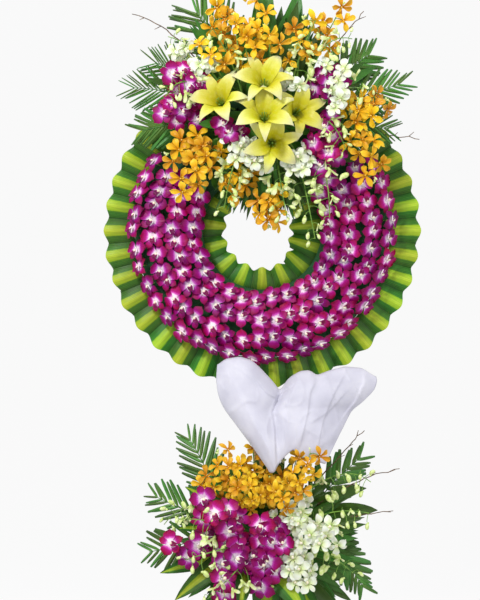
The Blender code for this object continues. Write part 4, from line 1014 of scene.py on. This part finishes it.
# Sprays of unopened buds: node, hole, way out, middle, tip and buds
budSprays = (
    ("buds_top", (0.108, -0.158, 1.465), up, (0.150, -0.214, 1.588), (0.220, -0.206, 1.612), 12),
    ("buds_hanging", (0.085, -0.155, 1.350), down, (0.108, -0.178, 1.230), (0.130, -0.175, 1.120), 12),
    ("buds_lower", (0.060, -0.090, 0.430), up, (0.180, -0.130, 0.530), (0.270, -0.130, 0.515), 12),
    ("", (-0.050, -0.165, 1.463), up, (-0.080, -0.200, 1.560), (-0.124, -0.234, 1.636), 11),
    ("", (0.070, -0.165, 1.463), up, (0.088, -0.200, 1.560), (0.130, -0.230, 1.655), 11),
    ("", (0.113, -0.165, 1.400), right, (0.165, -0.215, 1.405), (0.205, -0.205, 1.340), 10),
    ("", (0.113, -0.140, 1.440), right, (0.200, -0.190, 1.490), (0.285, -0.175, 1.480), 10),
    ("", (-0.088, -0.165, 1.440), left, (-0.180, -0.215, 1.505), (-0.240, -0.200, 1.470), 11),
    ("", (-0.085, -0.130, 1.463), up, (-0.165, -0.150, 1.580), (-0.235, -0.140, 1.625), 11),
    ("", (-0.050, -0.160, 1.352), down, (-0.075, -0.200, 1.290), (-0.095, -0.190, 1.195), 12),
    ("", (0.035, -0.160, 1.352), down, (0.042, -0.205, 1.270), (0.062, -0.190, 1.165), 11),
    ("", (0.105, -0.160, 1.352), down, (0.150, -0.205, 1.290), (0.165, -0.195, 1.170), 10),
    ("", (0.068, -0.095, 0.360), right, (0.150, -0.150, 0.345), (0.225, -0.150, 0.290), 11),
    ("", (0.068, -0.100, 0.385), right, (0.160, -0.170, 0.440), (0.265, -0.160, 0.440), 12),
    ("", (-0.068, -0.095, 0.400), left, (-0.170, -0.150, 0.455), (-0.245, -0.140, 0.410), 10),
    ("", (-0.066, -0.105, 0.385), left, (-0.130, -0.225, 0.425), (-0.210, -0.215, 0.430), 10),
    ("", (-0.030, -0.108, 0.360), front, (-0.110, -0.232, 0.355), (-0.190, -0.220, 0.330), 10),
    ("", (-0.020, -0.108, 0.345), front, (-0.070, -0.230, 0.300), (-0.135, -0.218, 0.235), 10),
)
budLook = {
    "out": 0.014, "inFoam": 0.020, "pastFork": 0.004, "footRadii": (0.0025, 0.0024),
    "radii": (0.0022, 0.0011), "bare": 0.30, "lastBud": 0.97, "placeStray": 0.04,
    "sizes": (0.033, 0.019), "sizeStray": (0.8, 1.15), "reach": 0.52, "reachStray": (0.6, 1.4),
    # how far a bud's stalk bows forward and on, and how far its end then goes over and down
    "bow": ((0.1, 0.8), (-0.1, 0.6)), "nod": ((0, 0.6), (0.1, 0.8)), "wayStray": 0.4, "turn": (0, 6.28),
    "stalkRadii": (0.0008, 0.0008), "openShare": 0.45, "openUpTo": 0.8, "lastFoot": 0.99,
}


def makeBuds():
    for number, (node, hole, out, middle, tip, count) in enumerate(budSprays):
        fork, stub = stemFoot(hole, out, budLook)
        points = routePoints(fork, middle, tip, 12)
        parts, lines = [], [stub, (points, *budLook["radii"])]
        largest, smallest = budLook["sizes"]
        for index in range(count):
            share = index / (count - 1)
            place = budLook["bare"] + (budLook["lastBud"] - budLook["bare"]) * share
            place += stray(budLook["placeStray"])
            foot, onward = along(points, min(budLook["lastFoot"], place))
            across = onward.cross(front).normalized() * (1 if index % 2 else -1)
            size = (largest + (smallest - largest) * share) * draw.uniform(*budLook["sizeStray"])
            # a thin stalk curves out and over, and the bud nods at its end
            reach = size * budLook["reach"] * draw.uniform(*budLook["reachStray"])
            bowFront, bowOn = [draw.uniform(*span) for span in budLook["bow"]]
            bow = foot + (across + front * bowFront + onward * bowOn) * reach
            nodOver, nodDown = [draw.uniform(*span) for span in budLook["nod"]]
            neck = bow + (across * nodOver + down * nodDown) * reach
            way = (neck - bow).normalized() + Vector([stray(budLook["wayStray"]) for _ in range(3)])
            spin = Matrix.Rotation(draw.uniform(*budLook["turn"]), 4, "Z")
            opens = share < budLook["openUpTo"] and draw.random() < budLook["openShare"]
            matrix = Matrix.Translation(neck) @ pointing(way.normalized()) @ spin @ Matrix.Scale(size, 4)
            parts.append(twinOf(openingBud if opens else budMaster, matrix, draw.random()))
            lines.append((routePoints(foot, bow, neck + way * 0.001, 5), *budLook["stalkRadii"]))
        parts.append(stemTubes(f"budStalks{number}", lines, greenStem))
        keep(joined(f"buds{number + 1}", parts), "green_bud", node)
    print("bud sprays made")


# The cloth: one strip folded over at the top into two full lobes. Its front layer hangs to a point over the
# lower flowers, and its back layer is gathered and tied to the mast. The outline as it hangs: the top edge as
# (x, z) from left to right, the sides as (z, x) from the foot up, and the foot's height from left to right.
cloth = {
    "crown": ((-0.113, 0.806), (-0.093, 0.822), (-0.056, 0.828), (-0.024, 0.819), (0.000, 0.799),
              (0.025, 0.770), (0.049, 0.741), (0.060, 0.764), (0.074, 0.778), (0.101, 0.792), (0.126, 0.794),
              (0.140, 0.781), (0.174, 0.793), (0.218, 0.803), (0.262, 0.799), (0.290, 0.776)),
    "leftSide": ((0.540, 0.020), (0.600, -0.022), (0.700, -0.098), (0.732, -0.111), (0.769, -0.116),
                 (0.830, -0.111)),
    "rightSide": ((0.555, 0.152), (0.607, 0.178), (0.657, 0.204), (0.695, 0.224), (0.712, 0.248),
                  (0.744, 0.280), (0.769, 0.288), (0.810, 0.272)),
    "foot": ((0.0, 0.541), (0.08, 0.541), (0.50, 0.600), (0.60, 0.578), (1.0, 0.562)),
    # depths of its upper half, of its back layer at the mast, of its point, and of its foremost place
    "front": -0.112, "mastFront": -0.0150, "footFront": -0.166, "foremost": -0.193,
    "notch": 0.43, "puff": 0.046, "folds": 0.0030,
    # creases as lines of (x, z) from top to foot, with how far the cloth at their left stands in front
    "creases": (
        (((0.049, 0.739), (0.034, 0.728), (0.022, 0.690), (0.029, 0.650), (0.032, 0.560)), 0.0075),
        (((-0.070, 0.826), (-0.020, 0.776), (0.012, 0.738), (0.034, 0.724)), -0.0045),
        (((0.140, 0.786), (0.118, 0.740), (0.112, 0.690), (0.092, 0.610)), 0.0050),
        (((0.214, 0.800), (0.176, 0.735), (0.150, 0.670), (0.130, 0.580)), 0.0040),
        (((0.256, 0.800), (0.252, 0.760), (0.232, 0.716), (0.200, 0.676)), -0.0050),
        (((-0.085, 0.790), (-0.050, 0.720), (-0.012, 0.650), (0.020, 0.590)), 0.0030),
        (((0.090, 0.780), (0.066, 0.720), (0.060, 0.660), (0.052, 0.600)), -0.0035),
        (((0.190, 0.720), (0.160, 0.690), (0.120, 0.665)), 0.0030),
    ),
    "steepSide": 0.0022, "softSide": 0.020,  # how soon a crease runs out on either side
    "tie": (0.040, 0.520), "columns": 140, "rows": 150, "thickness": 0.0006, "flat": (0.42, 0.46),
}


def readLine(points, value):
    # the height of a line of points over value
    for (startX, startY), (endX, endY) in zip(points, points[1:]):
        if value <= endX:
            break
    share = min(1.0, max(0.0, (value - startX) / (endX - startX)))
    return startY + (endY - startY) * share


def smoothLine(points, value, span):
    return sum(readLine(points, value + span * step) for step in (-1, -0.5, 0, 0.5, 1)) / 5


def creaseHeight(x, z):
    # each crease is steep on one side and runs out softly on the other
    raised = 0.0
    for points, height in cloth["creases"]:
        nearest, side, share = 1.0, 1, 0.0
        for index, ((startX, startZ), (endX, endZ)) in enumerate(zip(points, points[1:])):
            alongX, alongZ = endX - startX, endZ - startZ
            part = ((x - startX) * alongX + (z - startZ) * alongZ) / (alongX ** 2 + alongZ ** 2)
            part = min(1.0, max(0.0, part))
            gapX, gapZ = x - startX - alongX * part, z - startZ - alongZ * part
            gap = math.hypot(gapX, gapZ)
            if gap < nearest:
                side = 1 if gapX * alongZ - gapZ * alongX > 0 else -1  # 1 at the left, going down
                nearest, share = gap, (index + part) / (len(points) - 1)
        fade = min(1.0, 5 * (1 - share) + 0.3)
        runOut = cloth["softSide"] if side * height > 0 else cloth["steepSide"]
        raised += abs(height) * fade * math.exp(-nearest / runOut)
    return raised


def clothPlace(u, v):
    # v runs up the front from its point, over the top fold at 0.5, and down the back to the mast
    across = (u + 1) / 2
    ahead = v < 0.5
    height = (v if ahead else 1 - v) * 2  # 0 at the foot, 1 at the top fold
    drop = 1 - height
    foot = smoothLine(cloth["foot"], across, 0.02)
    topLeft, topRight = cloth["crown"][0][0], cloth["crown"][-1][0]
    crown = smoothLine(cloth["crown"], topLeft + (topRight - topLeft) * across, 0.006)
    z = foot + (crown - foot) * height ** 0.9
    leftSide, rightSide = smoothLine(cloth["leftSide"], z, 0.012), smoothLine(cloth["rightSide"], z, 0.008)
    x = leftSide + (rightSide - leftSide) * across
    # two lobes, each fullest in its middle, with a deep crease between them
    crease = cloth["notch"] - 0.16 * drop
    lobe = across / crease if across < crease else (1 - across) / (1 - crease)
    belly = math.sin(math.pi * min(1.0, 0.16 + 0.80 * drop)) ** 0.6
    fullness = cloth["puff"] * belly * math.sin(math.pi / 2 * min(1.0, 0.08 + 1.5 * lobe)) ** 0.8
    fullness *= 1 - 0.55 * math.exp(-((across - crease) / 0.045) ** 2) * height
    foldBack = max(0.0, (drop - 0.45) / 0.55) ** 1.3
    end = cloth["footFront"] if ahead else cloth["mastFront"]
    back = cloth["front"] + (end - cloth["front"]) * foldBack
    roll = math.sqrt(max(0.0, 1 - height ** 8))  # the two layers meet in a round fold at the top
    depth = back - fullness * (0.55 + 0.55 * roll if ahead else 0.55 - 0.45 * roll)
    # folds that fan out from the tie, sharp crinkles and soft dents
    fan = math.atan2(x - cloth["tie"][0], z - cloth["tie"][1])
    drift = noise.noise(Vector((x * 8, z * 8, 3.0)))
    gather = math.sin(17 * fan + 2.2 * drift) * (0.25 + 0.75 * drop)
    gather += 0.5 * math.sin(31 * fan + 3 * drift) * drop
    crinkle = 1 - 2 * abs(noise.noise(Vector((x * 15 + z * 6, z * 11 - x * 5, 7.0 if ahead else 1.0))))
    rumple = noise.noise(Vector((x * 34, z * 30, 5.0)))
    size = cloth["folds"] * min(1.0, height * 4 + 0.2)
    depth -= size * (0.4 * gather + 0.9 * crinkle ** 6 + 0.3 * rumple) * (1.0 if ahead else 0.6)
    if ahead:
        depth -= creaseHeight(x, z) * min(1.0, 6 * drop)
    return Vector((x, max(cloth["foremost"], min(depth, cloth["mastFront"])), z))


def makeCloth():
    sheet = shapedGrid("mourningCloth", cloth["columns"], cloth["rows"], clothPlace, whiteCloth,
                       cloth["thickness"])
    sheet = joined("mourningCloth", [sheet], angle=180)
    keep(sheet, "white_cloth", "mourning_cloth")
    print("cloth made")


# Leaves that fill each spray behind its flowers: short ones pinned all over the foam from its low to its high
# corner, as (number, shortest, longest), and fans of long ones behind the blooms, as (first and last angle
# clockwise from straight up, number, shortest, longest, narrowest and widest half width, depth).
fillers = {
    "upper": {
        "low": (-0.090, -0.172, 1.350), "high": (0.115, -0.0985, 1.465), "short": (44, 0.055, 0.085),
        "fans": (
            (-80, 76, 40, 0.10, 0.22, 0.009, 0.017, -0.112),
            (-42, 34, 36, 0.16, 0.265, 0.011, 0.018, -0.108),
            (125, 240, 30, 0.06, 0.14, 0.008, 0.013, -0.118),
            (140, 222, 64, 0.10, 0.17, 0.004, 0.006, -0.130),
            (152, 214, 44, 0.155, 0.200, 0.007, 0.010, -0.136),
            (0, 24, 9, 0.21, 0.285, 0.019, 0.026, -0.104),
        ),
    },
    "lower": {
        "low": (-0.070, -0.110, 0.3185), "high": (0.070, -0.0140, 0.430), "short": (36, 0.05, 0.08),
        "fans": (
            (-80, 75, 40, 0.08, 0.16, 0.010, 0.018, -0.070),
            (72, 165, 52, 0.12, 0.205, 0.012, 0.020, -0.080),
            (195, 285, 30, 0.08, 0.16, 0.010, 0.016, -0.085),
            (62, 108, 22, 0.12, 0.20, 0.009, 0.014, -0.098),
            (-42, 32, 22, 0.12, 0.175, 0.009, 0.014, -0.066),
        ),
    },
}
fillerLook = {
    "columns": 4, "rows": 7, "sag": 0.010, "slim": 0.007,  # leaves slimmer than this are palm leaflets
    "shortHalfWidth": 0.013, "shortInFoam": 0.004, "shortLean": 0.35,
    "fanInFoam": 0.006, "fanLean": (-0.16, 0.05), "depthStray": 0.012,
}
ringFiller = {
    "count": 44, "angle": 54, "turn": 55, "outward": (-0.6, 0.8, 1.0), "lean": 0.30, "sideStray": 0.5,
    "upStray": 0.3, "length": (0.06, 0.09), "halfWidth": 0.015,
}


def fillerLeaf(name, foot, way, length, halfWidth, material=broadLeaf):
    tip = foot + way * length
    points = routePoints(foot, (foot + tip) / 2 + front * fillerLook["sag"], tip, 6)
    return broadBlade(name, points, halfWidth, material, fillerLook["columns"], fillerLook["rows"])


def shortFiller(index, look):
    low, high = Vector(look["low"]), Vector(look["high"])
    spot = Vector([draw.uniform(a, b) for a, b in zip(low, high)])
    face = index % 5  # two leaves of five in front, the rest at the sides, top and bottom
    if face < 2:
        spot.y = low.y
    elif face == 2:
        spot.x = low.x
    elif face == 3:
        spot.x = high.x
    else:
        spot.z = high.z if index % 2 else low.z
    away = spot - (low + high) / 2
    away.y = 0
    way = (away.normalized() + front * fillerLook["shortLean"]).normalized()
    length = draw.uniform(*look["short"][1:])
    return fillerLeaf(f"filler{index}", spot - way * fillerLook["shortInFoam"], way, length,
                      fillerLook["shortHalfWidth"])


def fanFiller(index, look, fan):
    start, end, count, shortest, longest, narrowest, widest, depth = fan
    low, high = Vector(look["low"]), Vector(look["high"])
    middle = (low + high) / 2
    angle = math.radians(start + (end - start) * (index + draw.random()) / count)
    away = Vector((math.sin(angle), 0, math.cos(angle)))
    reach = min(abs((high.x - low.x) / 2 / (away.x or 1e-6)), abs((high.z - low.z) / 2 / (away.z or 1e-6)))
    foot = Vector((middle.x, depth, middle.z)) + away * (reach - fillerLook["fanInFoam"])
    foot.y += stray(fillerLook["depthStray"])
    way = (away + Vector((0, draw.uniform(*fillerLook["fanLean"]), 0))).normalized()
    length, halfWidth = draw.uniform(shortest, longest), draw.uniform(narrowest, widest)
    material = palmLeaf if widest < fillerLook["slim"] else broadLeaf
    return fillerLeaf(f"fan{index}", foot, way, length, halfWidth, material)


def ringTopFiller(index):
    # on the top of the ring, which the spray hangs over
    angle = stray(ringFiller["angle"])
    radius, depth = domePoint(stray(ringFiller["turn"]))
    outward = ringOutward(angle) * draw.choice(ringFiller["outward"])
    way = outward + front * ringFiller["lean"]
    way += Vector((stray(ringFiller["sideStray"]), 0, stray(ringFiller["upStray"])))
    return fillerLeaf(f"ringFiller{index}", onRing(angle, radius, depth), way.normalized(),
                      draw.uniform(*ringFiller["length"]), ringFiller["halfWidth"])


def makeFillers():
    for name, look in fillers.items():
        leaves = [shortFiller(index, look) for index in range(look["short"][0])]
        keep(joined(f"{name}FoamLeaves", leaves), "green_leaf")
        for number, fan in enumerate(look["fans"]):
            leaves = [fanFiller(index, look, fan) for index in range(fan[2])]
            keep(joined(f"{name}LeafFan{number + 1}", leaves), "green_leaf")
    leaves = [ringTopFiller(index) for index in range(ringFiller["count"])]
    keep(joined("ringTopLeaves", leaves), "green_leaf")
    print("leaves filled in")


# Dry twigs that stand out of both sprays, as (foot, middle, tip)
twigs = (
    ((-0.092, -0.105, 1.455), (-0.200, -0.118, 1.610), (-0.325, -0.110, 1.685)),
    ((0.090, -0.105, 1.462), (0.180, -0.118, 1.600), (0.255, -0.110, 1.690)),
    ((0.112, -0.105, 1.400), (0.270, -0.125, 1.385), (0.392, -0.120, 1.372)),
    ((0.065, -0.060, 0.428), (0.180, -0.080, 0.560), (0.255, -0.075, 0.640)),
    ((0.068, -0.070, 0.400), (0.210, -0.100, 0.500), (0.345, -0.095, 0.545)),
    ((0.068, -0.070, 0.370), (0.200, -0.110, 0.420), (0.330, -0.105, 0.440)),
)
twigLook = {"steps": 18, "sway": 0.007, "radii": (0.0022, 0.0010), "knots": (10, 13, 16),
            "spur": (0.010, 0.020), "spurRadii": (0.0012, 0.0007)}


def makeTwigs():
    lines = []
    for number, (foot, middle, tip) in enumerate(twigs):
        points = routePoints(foot, middle, tip, twigLook["steps"])
        for index, point in enumerate(points):
            sway = Vector((noise.noise(Vector((index * 0.6, number * 3, 0))), 0,
                           noise.noise(Vector((0, index * 0.6, number * 3)))))
            points[index] = point + sway * twigLook["sway"] * index / twigLook["steps"]
        lines.append((points, *twigLook["radii"]))
        for index in twigLook["knots"]:  # short spurs stand off the twig
            way = (points[index] - points[index - 1]).normalized() + Vector((0, 0, stray(1)))
            spur = way.normalized() * draw.uniform(*twigLook["spur"])
            lines.append(((points[index], points[index] + spur), *twigLook["spurRadii"]))
    keep(joined("dryTwigs", [stemTubes("twigs", lines, brownTwig)]), "wood")
    print("twigs made")


makeCollars()
makeRingOrchids()
makeLilies()
makeBunches()
makeGreens()
makeBuds()
makeCloth()
makeFillers()
makeTwigs()
for master in masters:
    bpy.data.objects.remove(master)


# Stage, light and camera

# a sheet of paper: along the floor from its front to its bend, up the bend, and on up to its top
stage = {"halfWidth": 3.5, "front": -4.0, "bend": 1.2, "bendRadius": 1.2, "top": 4.5, "rows": 60}


def makeStage():
    material, shader = newMaterial("White paper backdrop", 0.9)
    shader.inputs["Base Color"].default_value = linear("#202020")
    shader.inputs["Emission Color"].default_value = linear("#F5F5F5")
    shader.inputs["Emission Strength"].default_value = 1.0  # the even pale grey of a cut-out picture
    # its back is clear, so a camera behind it sees the wreath
    seen = addNode(material, "MixShader", {
        0: addNode(material, "NewGeometry")["Backfacing"], 1: shader.outputs[0],
        2: addNode(material, "BsdfTransparent")[0]})
    output = material.node_tree.nodes["Material Output"]
    material.node_tree.links.new(seen[0], output.inputs["Surface"])
    flat = stage["bend"] - stage["front"]
    arc = stage["bendRadius"] * math.pi / 2

    def place(u, v):
        reach = v * (flat + arc + stage["top"] - stage["bendRadius"])
        turn = min(math.pi / 2, max(0.0, (reach - flat) / stage["bendRadius"]))
        return Vector((
            u * stage["halfWidth"],
            stage["front"] + min(reach, flat) + stage["bendRadius"] * math.sin(turn),
            stage["bendRadius"] * (1 - math.cos(turn)) + max(0.0, reach - flat - arc)))

    backdrop = shapedGrid("paperBackdrop", 1, stage["rows"], place, material)
    backdrop.data.shade_smooth()
    backdrop.visible_diffuse = backdrop.visible_glossy = False  # it lights nothing


lights = (  # name, place, aim, power, size
    ("keyLight", (-1.8, -3.2, 3.4), (0, 0, 1.1), 112, 0.6),
    ("fillLight", (2.8, -3.2, 1.6), (0, 0, 0.9), 26, 2.0),
    ("topLight", (0, 0.3, 3.6), (0, 0, 0.8), 26, 1.6),
)
room = {"light": "#FAFAFC", "strength": 0.80, "seen": "#F7F7F7"}


def makeLights():
    for name, place, aim, power, size in lights:
        way = Vector(aim) - Vector(place)
        turned = way.to_track_quat("-Z", "Y").to_euler()
        bpy.ops.object.light_add(type="AREA", location=place, rotation=turned)
        lamp = bpy.context.object
        lamp.name = name
        lamp.data.energy = power
        lamp.data.size = size
    world = bpy.data.worlds.new("Soft room")
    world.use_nodes = True
    nodes, links = world.node_tree.nodes, world.node_tree.links
    light, seen = nodes["Background"], nodes.new("ShaderNodeBackground")
    light.inputs["Color"].default_value = linear(room["light"])
    light.inputs["Strength"].default_value = room["strength"]
    # the camera sees the room almost in the backdrop's colour
    seen.inputs["Color"].default_value = linear(room["seen"])
    mix = nodes.new("ShaderNodeMixShader")
    links.new(nodes.new("ShaderNodeLightPath").outputs["Is Camera Ray"], mix.inputs[0])
    links.new(light.outputs[0], mix.inputs[1])
    links.new(seen.outputs[0], mix.inputs[2])
    links.new(mix.outputs[0], nodes["World Output"].inputs["Surface"])
    bpy.context.scene.world = world


camera = {"place": (-0.056, -6.0, 0.969), "sensor": 36, "visibleHeight": 1.53}  # the height it sees at y 0


def makeCamera():
    bpy.ops.object.camera_add(location=camera["place"], rotation=(math.pi / 2, 0, 0))
    item = bpy.context.object
    item.name = "photoCamera"
    item.data.sensor_fit = "VERTICAL"
    item.data.sensor_height = camera["sensor"]
    item.data.lens = camera["sensor"] * -camera["place"][1] / camera["visibleHeight"]
    bpy.context.scene.camera = item


makeStage()
makeLights()
makeCamera()
bpy.context.scene.view_settings.view_transform = "Standard"
